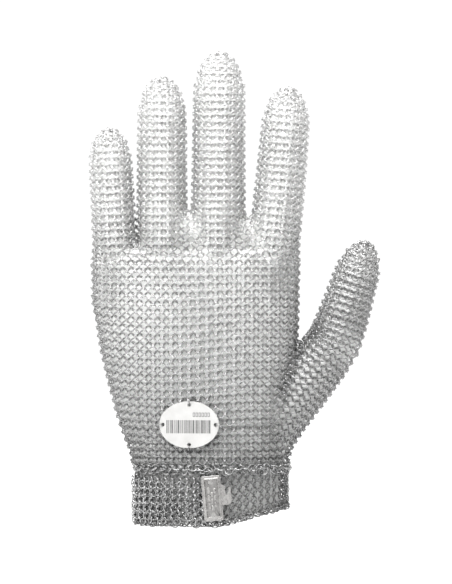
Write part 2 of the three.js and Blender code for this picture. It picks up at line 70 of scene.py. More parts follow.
WIRE = 0.52
RING_RADIUS = 1.79  # to the middle of the wire
RING_SEGMENTS = 12
WIRE_SIDES = 6
COLUMN = 2.06  # from one column of rings to the next
ROW_PALM = 1.86  # from one row to the next, where the mesh hangs open
ROW_FINGER = 1.62
RING_DEPTH = 0.95  # the rings' middles lie this far inside the glove's outline
LINER_DEPTH = 2.25

# ---- the hand inside, as a shape to weave round ----

PALM = [  # height, centre x, centre y, half width, half depth, squareness
    (20, -2.0, 0.0, 36.2, 19.3, 2.0),
    (34, -2.5, 0.0, 37.0, 19.5, 2.0),
    (50, -4.6, -0.5, 41.0, 19.0, 2.05),
    (66, -6.6, -1.2, 43.4, 18.2, 2.15),
    (80, -7.4, -1.8, 45.9, 17.2, 2.3),
    (103, -8.8, -3.2, 48.0, 15.0, 2.5),
    (122, -8.9, -4.2, 47.4, 13.0, 2.7),
    (150, -8.9, -4.4, 47.4, 12.4, 2.8),
]
PALM_TOP = 127
THENAR = ((21, 6.5, 62), (17, 12.0, 26))
HEEL = ((-30, 4.5, 58), (13, 12.5, 24))

FINGER_FLAT = 0.9  # depth over width
FINGERS = {
    # outline radius at the knuckle, middle joint, end joint and tip; columns round; first palm column; gaps
    "little": dict(radius=(10.6, 10.3, 10.2, 9.6), columns=28, group=(-23, -13), gaps=(123, 131)),
    "ring": dict(radius=(12.0, 11.6, 11.5, 10.6), columns=32, group=(-13, -1), gaps=(131, 145)),
    "middle": dict(radius=(12.9, 12.4, 12.3, 11.2), columns=36, group=(-1, 11), gaps=(145, 142.5)),
    "index": dict(radius=(12.2, 11.7, 11.4, 10.2), columns=32, group=(11, 23), gaps=(142.5, 121)),
}
PALM_MIDDLE_X = -8.8
SAG = 1.5  # how far the palm's rows wander up and down across the back of the hand
SAG_WAVE = 15  # across the hand, for one radian of the wander
SAG_START = 0.5
SAG_HEIGHTS = (34, 118)
WEBS = [  # two neighbours, height of the crotch between them, and where it lies across the hand
    ("little", "ring", 131, -35.6),
    ("ring", "middle", 145, -12.4),
    ("middle", "index", 142.5, 14.4),
]
WEB_RADIUS = 7.0
WEB_FOOT = 116
FILL_HEIGHTS = (36, 150)  # where open places in the weave are closed with a ring
FILL_ACROSS = (-56.0, 60.0)  # looked over on the two faces, every half millimetre
FILL_THROUGH = (-18.0, 16.0)  # and on the two sides
FILL_FROM = 95.0  # clear of the hand on every side
SIDEWAYS_IN = (0.0, 90.0, 90.0)  # a place inside the hand, and how far out to look on each side of it
THROUGH_IN = (30, 34)  # the same from the back and the front
FILL_GAP = 2.35  # a place further than this from every ring is open
FINGER_FOOT = 122  # a finger's rings take over from the palm's here, in the middle of the finger
THUMB = dict(radius=(14.2, 12.9, 11.4, 9.6), columns=36)
THUMB_FLAT = 0.95
FINGER_ROOT, THUMB_ROOT = 16, 17  # how far a digit's middle line runs on into the palm
TIP_START = 1.62  # in tip radii back from the end, where the tip starts to close
TIP_ROUNDS = ((1.05, 0.93), (0.76, 0.76))  # how far back, and what share of the tip radius
TIP_INSET = 1.5  # a digit's direction is taken this far short of its tip
GLOVE_TOP = 218
SOFT_FINGERS, SOFT_WEB, SOFT_HAND = 0.8, 3, 4  # how softly the parts of the hand run together
SOFT_THUMB, SOFT_PALM, SOFT_TOP = 5, 7, 8

DIGIT_JOINTS = {
    "thumb": ("thumb_saddle", "thumb_knuckle", "thumb_end_joint"),
}
for finger in FINGERS:
    DIGIT_JOINTS[finger] = (f"{finger}_knuckle", f"{finger}_middle_joint", f"{finger}_end_joint")
DIGIT_LENGTHS = {"thumb": ("root", "proximal", "tip")}
for finger in FINGERS:
    DIGIT_LENGTHS[finger] = ("proximal", "middle", "tip")


def joint_place(name):
    return np.array(JOINTS[name]["pos_m"]) / MM


def smooth_min(a, b, k):
    share = np.clip(0.5 + 0.5 * (b - a) / k, 0, 1)
    return b + (a - b) * share - k * share * (1 - share)


class Digit:
    """The middle line of a finger or the thumb, from inside the palm to the tip, with its outline radius."""

    def __init__(self, name, radius, flat, base_run):
        self.name, self.flat = name, flat
        joints = [joint_place(n) for n in DIGIT_JOINTS[name]]
        _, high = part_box(f"{name}_{DIGIT_LENGTHS[name][2]}_mesh")
        last = joints[2] - joints[1]
        last /= np.linalg.norm(last)
        tip = joints[2] + last * ((high[2] / MM - joints[2][2]) / last[2])
        first = joints[1] - joints[0]
        first /= np.linalg.norm(first)
        knots = np.array([joints[0] - first * base_run, *joints, tip])
        steps = np.concatenate([[0], np.cumsum(np.linalg.norm(np.diff(knots, axis=0), axis=1))]) - base_run
        self.joint_at = steps[1:4]
        self.length = steps[4]
        run = np.linspace(-base_run, self.length, 240)
        path = np.stack([np.interp(run, steps, knots[:, i]) for i in range(3)], axis=1)
        self.path = self.smoothed(path, 24)
        self.run = run
        self.radius_at = lambda u: np.interp(u, steps, (radius[0], *radius))

    @staticmethod
    def smoothed(path, width):
        padded = np.concatenate([
            path[0] + (path[0] - path[1]) * np.arange(width, 0, -1)[:, None],
            path,
            path[-1] + (path[-1] - path[-2]) * np.arange(1, width + 1)[:, None],
        ])
        kernel = np.hanning(2 * width + 1)
        kernel /= kernel.sum()
        return np.stack([np.convolve(padded[:, i], kernel, "valid") for i in range(3)], axis=1)

    def at(self, u):
        return np.stack([np.interp(u, self.run, self.path[:, i]) for i in range(3)], axis=-1)

    def along(self, u):
        step = self.at(np.asarray(u) + 1.0) - self.at(np.asarray(u) - 1.0)
        return step / np.linalg.norm(step, axis=-1, keepdims=True)

    def stand(self, u):
        """A place along the middle line, the way along, the way across towards the thumb, and the way out."""
        u_in = min(u, self.length - TIP_INSET)
        along = self.along(u_in)
        side = np.cross(along, (0, -1, 0))
        side /= np.linalg.norm(side)
        return self.at(u_in) + along * (u - u_in), along, side, np.cross(side, along)

    def stations(self):
        """Round stations that give the outline: (place, radius), closing to a rounded tip."""
        end = self.radius_at(self.length)
        straight = list(np.linspace(self.run[0], self.length - TIP_START * end, 9))
        made = [(self.at(u), float(self.radius_at(u))) for u in straight]
        for back, share in TIP_ROUNDS:
            made.append((self.at(self.length - back * end), share * end))
        return made

    def field(self, p):
        """Distance outside the digit's outline, negative inside."""
        middle_y = self.path[len(self.path) // 2, 1]
        q = p.copy()
        q[:, 1] = (p[:, 1] - middle_y) / self.flat + middle_y
        best = np.full(len(p), 1e9)
        rows = self.stations()
        for (a, ra), (b, rb) in zip(rows, rows[1:]):
            line = b - a
            t = np.clip((q - a) @ line / (line @ line), 0, 1)
            away = np.linalg.norm(q - a - t[:, None] * line, axis=1)
            best = np.minimum(best, away - (ra + (rb - ra) * t))
        return best


DIGITS = {name: Digit(name, row["radius"], FINGER_FLAT, FINGER_ROOT) for name, row in FINGERS.items()}
DIGITS["thumb"] = Digit("thumb", THUMB["radius"], THUMB_FLAT, THUMB_ROOT)

palm_heights = np.arange(-10.0, 170.0, 1.0)
_rows = np.array(PALM, float)
_spread = np.hanning(17) / np.hanning(17).sum()
palm_table = []
for column in range(1, 6):
    plain = np.interp(np.arange(-18.0, 178.0, 1.0), _rows[:, 0], _rows[:, column])
    palm_table.append(np.convolve(plain, _spread, "valid"))


def palm_section(z):
    return [np.interp(z, palm_heights, row) for row in palm_table]


def egg_field(p, egg):
    middle, radii = np.array(egg[0], float), np.array(egg[1], float)
    q = np.linalg.norm((p - middle) / radii, axis=1)
    return (q - 1) * radii.min()


def palm_field(p):
    x, y, wide, deep, square = palm_section(p[:, 2])
    dx, dy = p[:, 0] - x, p[:, 1] - y
    q = (np.abs(dx / wide) ** square + np.abs(dy / deep) ** square + 1e-9) ** (1 / square)
    side = np.hypot(dx, dy) * (1 - 1 / np.maximum(q, 0.05))
    top = p[:, 2] - PALM_TOP
    body = -smooth_min(-side, -top, SOFT_TOP)
    for egg in (THENAR, HEEL):
        body = smooth_min(body, egg_field(p, egg), SOFT_PALM)
    return body


def web_field(p):
    """The sheet between two fingers, up to their crotch."""
    best = np.full(len(p), 1e9)
    for left, right, height, _ in WEBS:
        z = np.clip(p[:, 2], WEB_FOOT, height - WEB_RADIUS)
        first, second = (np.interp(z, DIGITS[n].path[:, 2], DIGITS[n].path[:, 0]) for n in (left, right))
        y = DIGITS[left].path[0, 1]
        x = np.clip(p[:, 0], first, second)
        away = np.sqrt((p[:, 0] - x) ** 2 + (p[:, 1] - y) ** 2 + (p[:, 2] - z) ** 2)
        best = np.minimum(best, away - WEB_RADIUS)
    return best


def fingers_field(p):
    best = None
    for name in FINGERS:
        value = DIGITS[name].field(p)
        best = value if best is None else smooth_min(best, value, SOFT_FINGERS)
    return best


def hand_field(p):
    palm = smooth_min(palm_field(p), web_field(p), SOFT_WEB)
    hand = smooth_min(fingers_field(p), palm, SOFT_HAND)
    return smooth_min(hand, DIGITS["thumb"].field(p), SOFT_THUMB)


def slope(field, p, step=0.25):
    made = np.zeros_like(p)
    for i in range(3):
        nudge = np.zeros(3)
        nudge[i] = step
        made[:, i] = (field(p + nudge) - field(p - nudge)) / (2 * step)
    return made


def straight_in(field, p, level, axis=1):
    """Moves points in along one axis from the nearer side, where the surface lies under them."""
    middle, below, above = SIDEWAYS_IN if axis == 0 else (DIGITS["ring"].path[0, 1], *THROUGH_IN)
    inside = np.full(len(p), float(middle))
    outside = np.where(p[:, axis] < inside, inside - below, inside + above)
    q = p.copy()
    q[:, axis] = inside
    under = field(q) < level
    near, far = inside.copy(), outside
    for _ in range(18):
        q[:, axis] = (near + far) / 2
        within = field(q) < level
        near, far = np.where(within, q[:, axis], near), np.where(within, far, q[:, axis])
    made = p.copy()
    made[:, axis] = np.where(under, near, p[:, axis])
    return made


def onto(field, p, level, rounds=6):
    """Moves points onto the field's surface at a depth, and gives the way out of it there."""
    p = np.array(p, float)
    for _ in range(rounds):
        g = slope(field, p)
        size = np.maximum((g * g).sum(axis=1), 0.05)
        step = (field(p) - level) / size
        p -= np.clip(step, -3, 3)[:, None] * g
    g = slope(field, p)
    return p, g / np.linalg.norm(g, axis=1, keepdims=True)


# ---- rings: where each one lies, which way is up along its column, and its lean ----


class Rings:
    """A run of rings before they are made: places, outward ways, up ways, leans and a label each."""

    def __init__(self):
        self.place, self.out, self.up, self.lean, self.mark = [], [], [], [], []

    def add(self, place, up, lean, mark):
        self.place.append(place)
        self.up.append(up)
        self.lean.append(lean)
        self.mark.append(mark)

    def settle(self, field, level, flat=False):
        place = np.array(self.place, float)
        if flat:
            place = straight_in(field, place, level)
        self.place, self.out = onto(field, place, level)
        self.up = np.array(self.up)
        self.lean = np.array(self.lean)
        return self

    def keep(self, wanted):
        picked = np.flatnonzero(wanted)
        self.place, self.out, self.up = self.place[picked], self.out[picked], self.up[picked]
        self.lean = self.lean[picked]
        self.mark = [self.mark[i] for i in picked]
        return self


def turned(lean, count):
    """Rings lean one way in odd rows and the other way in even ones."""
    return lean if count % 2 else -lean


def row_pitch(z):
    return float(np.interp(z, (28, 45, 95, 130, 158), (1.62, 1.8, ROW_PALM, 1.72, ROW_FINGER)))


LEAN, LEAN_PITCH, LEAN_FALL = 34, 3.0, 11


def lean_for(pitch):
    """Rings lie flatter where the rows stand further apart."""
    return math.radians(LEAN - (2 * pitch - LEAN_PITCH) * LEAN_FALL)


ROWS = [28.6]
while ROWS[-1] < 230:
    ROWS.append(ROWS[-1] + row_pitch(ROWS[-1]))


def group_edges(name, run, px):
    """Where a finger's share of the palm begins and ends across the hand."""
    first, last = FINGERS[name]["group"]
    edges = [np.interp(first * COLUMN, run, px), np.interp(last * COLUMN, run, px)]
    for left, right, _, x in WEBS:
        if name == right:
            edges[0] = x
        if name == left:
            edges[1] = x
    return edges


def gap_height(name, share):
    """The height at which the palm gives way to a finger: low in its middle, up to a crotch at each side."""
    low, high = FINGERS[name]["gaps"]
    side = np.where(np.asarray(share) < 0, low, high)
    return FINGER_FOOT + (side - FINGER_FOOT) * np.clip(np.abs(share), 0, 1) ** 2


def section_arc(z, back):
    """The palm's outline at a height as a line by length from its middle: positive towards the thumb."""
    x0, y0, wide, deep, square = [float(v) for v in palm_section(np.array([z]))]
    angle = np.linspace(-math.pi / 2 - 0.2, math.pi / 2 + 0.2, 121)
    side = 1 if back else -1
    power = 2 / square
    px = np.sign(np.sin(angle)) * np.abs(np.sin(angle)) ** power * (wide - RING_DEPTH) + x0
    py = side * np.sign(np.cos(angle)) * np.abs(np.cos(angle)) ** power * (deep - RING_DEPTH) + y0
    run = np.concatenate([[0], np.cumsum(np.hypot(np.diff(px), np.diff(py)))])
    run -= np.interp(PALM_MIDDLE_X, px[20:101], run[20:101])
    edge = np.interp([-math.pi / 2, math.pi / 2], angle, run)
    return px, py, run, edge


PALM_ROWS_END = 146
PALM_OUTLINE_END = 124  # rows above keep the outline of this height
COLUMNS_OUT = 30  # columns tried to each side of the middle
EDGE_SLACK = 0.4
DRAWN_FROM, DRAWN_RUN = 98, 30  # over this height the columns draw in to the fingers' own widths


def palm_rings():
    rings = Rings()
    up = (0, 0, 1)
    for h, z in enumerate(ROWS):
        if z > PALM_ROWS_END:
            break
        lean = turned(lean_for(row_pitch(z)), h)
        for back in (False, True):
            px, py, run, edge = section_arc(min(z, PALM_OUTLINE_END), back)
            for k in range(-COLUMNS_OUT, COLUMNS_OUT):
                if (k + h + back) % 2:
                    continue
                s = (k + 0.5) * COLUMN
                if not edge[0] - EDGE_SLACK < s < edge[1] + EDGE_SLACK:
                    continue
                x, y = np.interp(s, run, px), np.interp(s, run, py)
                mark = "palm"
                for name, row in FINGERS.items():
                    first, last = row["group"]
                    if not first <= k < last:
                        continue
                    near, far = group_edges(name, run, px)
                    share = (k + 0.5 - first) / (last - first)
                    drawn = np.clip((z - DRAWN_FROM) / DRAWN_RUN, 0, 1)
                    x += drawn * (near + share * (far - near) - x)
                    mark = name if z <= gap_height(name, 2 * share - 1) else None
                if mark == "palm" and z > FINGER_FOOT:
                    mark = None
                if mark:
                    swing = SAG * math.sin((x - PALM_MIDDLE_X) / SAG_WAVE - SAG_START)
                    rise = np.clip((z - SAG_HEIGHTS[0]) / (SAG_HEIGHTS[1] - SAG_HEIGHTS[0]), 0, 1)
                    sag = swing * math.sin(math.pi * rise)
                    rings.add((x, y, z + sag), up, lean, (mark, z))
    return rings


def profile(digit, level):
    """A digit's half width along its middle line, out to the tip, and the length over that outline."""
    reach = np.linspace(digit.run[0], digit.length + 2, 700)
    middle = digit.at(np.minimum(reach, digit.length))
    along = digit.along(np.minimum(reach, digit.length - TIP_INSET))
    middle = middle + along * np.maximum(reach - digit.length, 0)[:, None]
    side = np.cross(along, (0, -1, 0))
    side /= np.linalg.norm(side, axis=1, keepdims=True)
    low, high = np.zeros(len(reach)), np.full(len(reach), 22.0)
    for _ in range(18):
        half = (low + high) / 2
        inside = digit.field(middle + side * half[:, None]) < level
        low, high = np.where(inside, half, low), np.where(inside, high, half)
    half = np.where(digit.field(middle) < level, low, 0)
    last = int(np.flatnonzero(half > 0)[-1]) + 1
    reach, half = reach[: last + 1], half[: last + 1]
    run = np.concatenate([[0], np.cumsum(np.hypot(np.diff(reach), np.diff(half)))])
    return reach, half, run


def oval_places(count, flat, first):
    """Angles of count evenly spaced places round an oval, from its back, in columns of half that spacing."""
    angle = np.linspace(0, 2 * math.pi, 361)
    run = np.concatenate([[0], np.cumsum(np.hypot(np.diff(np.sin(angle)), flat * np.diff(np.cos(angle))))])
    return np.interp((np.arange(count) + first) / count * run[-1], run, angle)


THUMB_FIRST_ROW, THUMB_ROW = -15.0, ROW_FINGER + 0.06
FINGER_FIRST_ROW = FINGER_FOOT - 4  # rows are laid from here, and those under the palm's are dropped
DOME = 1.9  # in tip radii, the length that is closed with fewer and fewer rings
EVEN_ROWS_FROM = 25  # along a finger, where its rows stop easing in from the palm's
ABOVE_ALL = 999  # a height that no gap reaches


def digit_rings(name, columns, shift):
    """Rows round a digit. The rows of a finger go on from the palm's; the tip closes with fewer and fewer."""
    digit = DIGITS[name]
    rings = Rings()
    reach, half, run = profile(digit, -RING_DEPTH)
    if name == "thumb":
        starts = list(np.arange(THUMB_FIRST_ROW, digit.length, THUMB_ROW))
        numbers = list(range(len(starts)))
    else:
        numbers = [h for h, z in enumerate(ROWS) if z > FINGER_FIRST_ROW]
        starts = [float(np.interp(ROWS[h], digit.path[:, 2], digit.run)) for h in numbers]
    dome = digit.length - DOME * float(digit.radius_at(digit.length))
    rows = [(h, np.interp(u, reach, run)) for h, u in zip(numbers, starts) if u < dome]
    while rows[-1][1] + ROW_FINGER < run[-1] - 0.5:
        rows.append((rows[-1][0] + 1, rows[-1][1] + ROW_FINGER))
    for h, s in rows:
        u, r = float(np.interp(s, run, reach)), float(np.interp(s, run, half))
        round_length = 2 * math.pi * r * (1 + digit.flat) / 2
        on_tube = u < dome
        count = columns // 2 if on_tube else max(3, round(round_length / (2 * COLUMN)))
        odd = (h + shift) % 2
        angles = oval_places(count, digit.flat, 0.25 + 0.5 * odd)
        middle, along, side, front = digit.stand(u)
        pitch = ROW_FINGER if name == "thumb" or u > EVEN_ROWS_FROM else row_pitch(middle[2])
        lean = turned(lean_for(pitch), h)
        for angle in angles:
            across = side * math.sin(angle) + front * (digit.flat * math.cos(angle))
            rings.add(middle + across * r, along, lean, (name, u, math.sin(angle), middle[2]))
    rings.add(digit.at(digit.length), (0, -1, 0), 0.0, (name, digit.length, 0.0, ABOVE_ALL))
    return rings


def face_places():
    """Places all over the faces and the sides of the hand, row by row, with the number of each one's row."""
    faces, sides, face_rows, side_rows = [], [], [], []
    across, through = np.arange(*FILL_ACROSS, 0.5), np.arange(*FILL_THROUGH, 0.5)
    for h, z in enumerate(ROWS):
        if FILL_HEIGHTS[0] < z < FILL_HEIGHTS[1]:
            for end in (-FILL_FROM, FILL_FROM):
                faces += [(x, end, z) for x in across]
                sides += [(end, y, z) for y in through]
                face_rows += [h] * len(across)
                side_rows += [h] * len(through)
    places, rows = [], []
    for start, row, axis in ((faces, face_rows, 1), (sides, side_rows, 0)):
        settled = straight_in(hand_field, np.array(start), -RING_DEPTH, axis)
        met = np.abs(settled[:, axis]) < FILL_FROM - 1
        places.append(settled[met])
        rows.append(np.array(row)[met])
    return onto(hand_field, np.concatenate(places), -RING_DEPTH, 2)[0], np.concatenate(rows)


def gap_mark(place):
    """The digit that a worked-in ring goes with."""
    thumb = DIGITS["thumb"]
    if thumb.field(place[None])[0] < 0:
        run = thumb.run[int(np.argmin(np.linalg.norm(thumb.path - place, axis=1)))]
        return ("thumb", float(run), 0.0, place[2])
    across = {name: np.interp(place[2], DIGITS[name].path[:, 2], DIGITS[name].path[:, 0]) for name in FINGERS}
    return (min(across, key=lambda name: abs(across[name] - place[0])), place[2])


def gap_rings(groups):
    """Works a ring in wherever the weave is left open, the widest gap first."""
    rings = Rings()
    places, rows = face_places()
    away = np.full(len(places), 99.0)
    for group in groups:
        near = (group.place[:, 2] > FILL_HEIGHTS[0] - 5) & (group.place[:, 2] < FILL_HEIGHTS[1] + 5)
        for place in group.place[near]:
            away = np.minimum(away, np.linalg.norm(places - place, axis=1))
    while away.max() > FILL_GAP:
        i = int(np.argmax(away))
        lean = turned(lean_for(row_pitch(places[i][2])), rows[i])
        rings.add(tuple(places[i]), (0, 0, 1), lean, gap_mark(places[i]))
        away = np.minimum(away, np.linalg.norm(places - places[i], axis=1))
    return rings.settle(hand_field, -RING_DEPTH)


def build_all_rings():
    palm = palm_rings().settle(hand_field, -RING_DEPTH, flat=True)
    palm_only = lambda p: smooth_min(palm_field(p), fingers_field(p), SOFT_HAND)
    thumb_field = DIGITS["thumb"].field
    palm.keep(thumb_field(palm.place) > palm_only(palm.place) - 0.2)
    groups = [palm]
    for name, row in FINGERS.items():
        shift = (row["group"][0] + row["group"][1]) // 2
        made = digit_rings(name, row["columns"], shift).settle(hand_field, -RING_DEPTH)
        height = np.array([m[3] for m in made.mark])
        share = np.array([m[2] for m in made.mark])
        made.keep(height > gap_height(name, share))
        groups.append(made)
    thumb = digit_rings("thumb", THUMB["columns"], 0).settle(hand_field, -RING_DEPTH)
    thumb.keep(thumb_field(thumb.place) <= palm_only(thumb.place) + 0.3)
    groups.append(thumb)
    groups = apart(groups)
    return groups + [gap_rings(groups)]


def apart(groups, least=1.25):
    """Drops a ring that lies all but on a ring of an earlier group."""
    for i, group in enumerate(groups):
        earlier = np.concatenate([g.place for g in groups[:i]]) if i else np.zeros((0, 3))
        tree = KDTree(len(earlier))
        for j, place in enumerate(earlier):
            tree.insert(Vector(place), j)
        tree.balance()
        if i:
            group.keep([tree.find(Vector(p))[2] > least for p in group.place])
    return groups


# ---- meshes ----

shake = random.Random(11)
SHAKE_TURN, SHAKE_DRIFT = 3.0, 0.05  # degrees and millimetres


def wire_ring(radius=RING_RADIUS, wire=WIRE, segments=RING_SEGMENTS, sides=WIRE_SIDES):
    """One closed ring of round wire, lying flat at the origin."""
    bm = bmesh.new()
    stand = Matrix.Translation((radius * MM, 0, 0)) @ Matrix.Rotation(math.pi / 2, 4, "X")
    bmesh.ops.create_circle(bm, segments=sides, radius=wire * MM / 2, matrix=stand)
    bmesh.ops.spin(bm, geom=bm.verts[:] + bm.edges[:], cent=(0, 0, 0), axis=(0, 0, 1),
                   angle=2 * math.pi, steps=segments, use_merge=True)
    bmesh.ops.recalc_face_normals(bm, faces=bm.faces)
    for face in bm.faces:
        face.smooth = True
    mesh = bpy.data.meshes.new("wire_ring")
    bm.to_mesh(mesh)
    bm.free()
    return mesh


MASTER = wire_ring()


def ring_matrix(place, out, up, lean, loose):
    out = Vector(out)
    up = Vector(up)
    up = (up - out * up.dot(out)).normalized()
    across = up.cross(out).normalized()
    lean += math.radians(shake.gauss(0, SHAKE_TURN) * loose)
    face = out * math.cos(lean) + up * math.sin(lean)
    face = (face + across * math.radians(shake.gauss(0, SHAKE_TURN) * loose)).normalized()
    side = across.cross(face).normalized()
    across = side.cross(face) * -1
    turn = Matrix((across, side, face)).transposed().to_4x4()
    drift = Vector([shake.gauss(0, SHAKE_DRIFT) * loose for _ in range(3)])
    return Matrix.Translation((Vector(place) + drift) * MM) @ turn


def weave(name, matrices, material, master=None):
    """Makes one piece of many copies of a ring."""
    bm = bmesh.new()
    source = master or MASTER
    for matrix in matrices:
        copy = source.copy()
        copy.transform(matrix)
        bm.from_mesh(copy)
        bpy.data.meshes.remove(copy)
    return piece(name, bm, material)


def piece(name, bm, material):
    mesh = bpy.data.meshes.new(name)
    bm.to_mesh(mesh)
    bm.free()
    obj = bpy.data.objects.new(name, mesh)
    bpy.context.scene.collection.objects.link(obj)
    mesh.materials.append(material)
    return obj


# ---- materials ----


def new_material(name):
    material = bpy.data.materials.new(name)
    material.use_nodes = True
    nodes = material.node_tree.nodes
    return material, nodes, material.node_tree.links, nodes["Principled BSDF"]


def noise(nodes, links, scale, detail=2.0, rough=0.5):
    place = nodes.new("ShaderNodeTexCoord")
    made = nodes.new("ShaderNodeTexNoise")
    made.inputs["Scale"].default_value = scale
    made.inputs["Detail"].default_value = detail
    made.inputs["Roughness"].default_value = rough
    links.new(place.outputs["Object"], made.inputs["Vector"])
    return made


def ramp(nodes, links, source, stops):
    made = nodes.new("ShaderNodeValToRGB")
    keys = made.color_ramp.elements
    while len(keys) < len(stops):
        keys.new(0.5)
    for key, (at, colour) in zip(keys, stops):
        key.position = at
        key.color = (*colour, 1)
    links.new(source, made.inputs["Fac"])
    return made


def shaded(nodes, links, shader, socket, pattern, stops):
    """Drives one of a material's inputs by a ramp over a pattern."""
    links.new(ramp(nodes, links, pattern.outputs["Fac"], stops).outputs["Color"], shader.inputs[socket])


def grey(value, warm=0.0):
    return (value * (1 + warm), value, value * (1 - warm))


def painted_light_by_height(nodes, links, stops):
    """Painted light and shade: a tone that drifts from the cuff's hem to the fingertips, by height in
    millimetres, darker low on the glove and lighter high up, where more light falls.
    """
    place = nodes.new("ShaderNodeTexCoord")
    split = nodes.new("ShaderNodeSeparateXYZ")
    links.new(place.outputs["Object"], split.inputs["Vector"])
    span = nodes.new("ShaderNodeMapRange")
    span.inputs["From Max"].default_value = GLOVE_TOP * MM
    links.new(split.outputs["Z"], span.inputs["Value"])
    return ramp(nodes, links, span.outputs["Result"], [(z / GLOVE_TOP, grey(tone)) for z, tone in stops])


def times(nodes, links, first, second):
    made = nodes.new("ShaderNodeMix")
    made.data_type = "RGBA"
    made.blend_type = "MULTIPLY"
    made.inputs["Factor"].default_value = 1.0
    links.new(first, made.inputs["A"])
    links.new(second, made.inputs["B"])
    return made.outputs["Result"]


def bumped(nodes, links, shader, height, strength, distance):
    bump = nodes.new("ShaderNodeBump")
    bump.inputs["Strength"].default_value = strength
    bump.inputs["Distance"].default_value = distance
    links.new(height, bump.inputs["Height"])
    links.new(bump.outputs["Normal"], shader.inputs["Normal"])


def drawn_wire_steel(name, stops):
    """Bright stainless wire: a slow drift in tone, finer streaks, and a satin that comes and goes, over
    painted light and shade by height that darkens the wire towards the cuff.
    """
    material, nodes, links, shader = new_material(name)
    tone = noise(nodes, links, 420, 3.0, 0.6)
    shade = ramp(nodes, links, tone.outputs["Fac"], [(0.3, grey(0.8, 0.012)), (0.7, grey(1.0, -0.006))])
    colour = times(nodes, links, painted_light_by_height(nodes, links, stops).outputs["Color"], shade.outputs["Color"])
    links.new(colour, shader.inputs["Base Color"])
    satin = noise(nodes, links, 900, 2.0)
    shaded(nodes, links, shader, "Roughness", satin, [(0.3, grey(0.18)), (0.75, grey(0.36))])
    bumped(nodes, links, shader, noise(nodes, links, 5200, 2.0).outputs["Fac"], 0.12, 0.00004)
    shader.inputs["Metallic"].default_value = 1.0
    return material


def liner_knit():
    """Fine white knit: small loops as bump, a faint drift in tone, and painted shade by height that greys it
    towards the cuff.
    """
    material, nodes, links, shader = new_material("white liner knit")
    place = nodes.new("ShaderNodeTexCoord")
    loops = nodes.new("ShaderNodeTexVoronoi")
    loops.inputs["Scale"].default_value = 1500
    links.new(place.outputs["Object"], loops.inputs["Vector"])
    tone = ramp(nodes, links, loops.outputs["Distance"], [(0.0, (1.0, 1.0, 0.99)), (0.8, (0.9, 0.9, 0.89))])
    # Painted light and shade by height: the knit is greyer towards the cuff and near white at the fingertips.
    stops = [(0, 0.7), (26, 0.68), (48, 0.7), (90, 0.84), (150, 0.97), (218, 0.98)]
    colour = times(nodes, links, painted_light_by_height(nodes, links, stops).outputs["Color"], tone.outputs["Color"])
    links.new(colour, shader.inputs["Base Color"])
    bumped(nodes, links, shader, loops.outputs["Distance"], 0.25, 0.0001)
    shader.inputs["Roughness"].default_value = 0.9
    shader.inputs["Sheen Weight"].default_value = 0.15
    shader.inputs["Specular IOR Level"].default_value = 0.2
    return material


def pressed_steel(name, low, high):
    """Satin stamped plate, rolled one way, with light handling marks."""
    material, nodes, links, shader = new_material(name)
    tone = noise(nodes, links, 700, 4.0, 0.65)
    shaded(nodes, links, shader, "Base Color", tone, [(0.3, grey(low, 0.02)), (0.7, grey(high, 0.02))])
    shaded(nodes, links, shader, "Roughness", tone, [(0.3, grey(0.22)), (0.7, grey(0.36))])
    bumped(nodes, links, shader, noise(nodes, links, 2600, 3.0).outputs["Fac"], 0.18, 0.00005)
    shader.inputs["Metallic"].default_value = 1.0
    return material


def enamel():
    material, nodes, links, shader = new_material("white tag enamel")
    tone = noise(nodes, links, 160, 4.0, 0.6)
    # The white enamel is painted mid grey, well under its own white: painted shade over the whole tag, with a
    # random drift in tone between the two greys.
    dull_in_shade, clean_in_shade = (0.43, 0.427, 0.418), (0.49, 0.487, 0.48)
    shaded(nodes, links, shader, "Base Color", tone, [(0.3, dull_in_shade), (0.7, clean_in_shade)])
    shaded(nodes, links, shader, "Roughness", tone, [(0.3, grey(0.32)), (0.7, grey(0.45))])
    bumped(nodes, links, shader, noise(nodes, links, 900, 3.0).outputs["Fac"], 0.1, 0.00004)
    return material


def ink():
    """Printed marks, a little worn."""
    material, nodes, links, shader = new_material("grey tag ink")
    tone = noise(nodes, links, 1400, 3.0, 0.6)
    shaded(nodes, links, shader, "Base Color", tone, [(0.3, grey(0.05)), (0.72, grey(0.13))])
    shader.inputs["Roughness"].default_value = 0.6
    return material


# Painted light and shade: the wire's tone by height, dark at the cuff and light at the fingertips, standing
# in for how the light falls along the glove.
STEEL_PAINTED_LIGHT_TONES = [(0, 0.19), (26, 0.22), (50, 0.33), (95, 0.37), (128, 0.44), (145, 0.62), (218, 0.74)]
STEEL = drawn_wire_steel("drawn wire steel", STEEL_PAINTED_LIGHT_TONES)
# A lighter copy of the wire steel for the close-gathered flap and seam rings: painted light over the shade
# between them.
GATHERED_STEEL_PAINTED_LIGHT = drawn_wire_steel("gathered wire steel painted lighter", [(0, 0.36), (40, 0.4), (218, 0.5)])
KNIT = liner_knit()
PRESSED = pressed_steel("pressed clasp steel", 0.36, 0.52)
# A darker copy of the clasp steel for the cover's sunken face: painted shade in the recess.
SUNKEN_SHADE_STEEL = pressed_steel("sunken clasp steel painted shade", 0.26, 0.4)
ENAMEL = enamel()
INK = ink()

# ---- where each digit is cut into stretches, one for each joint ----

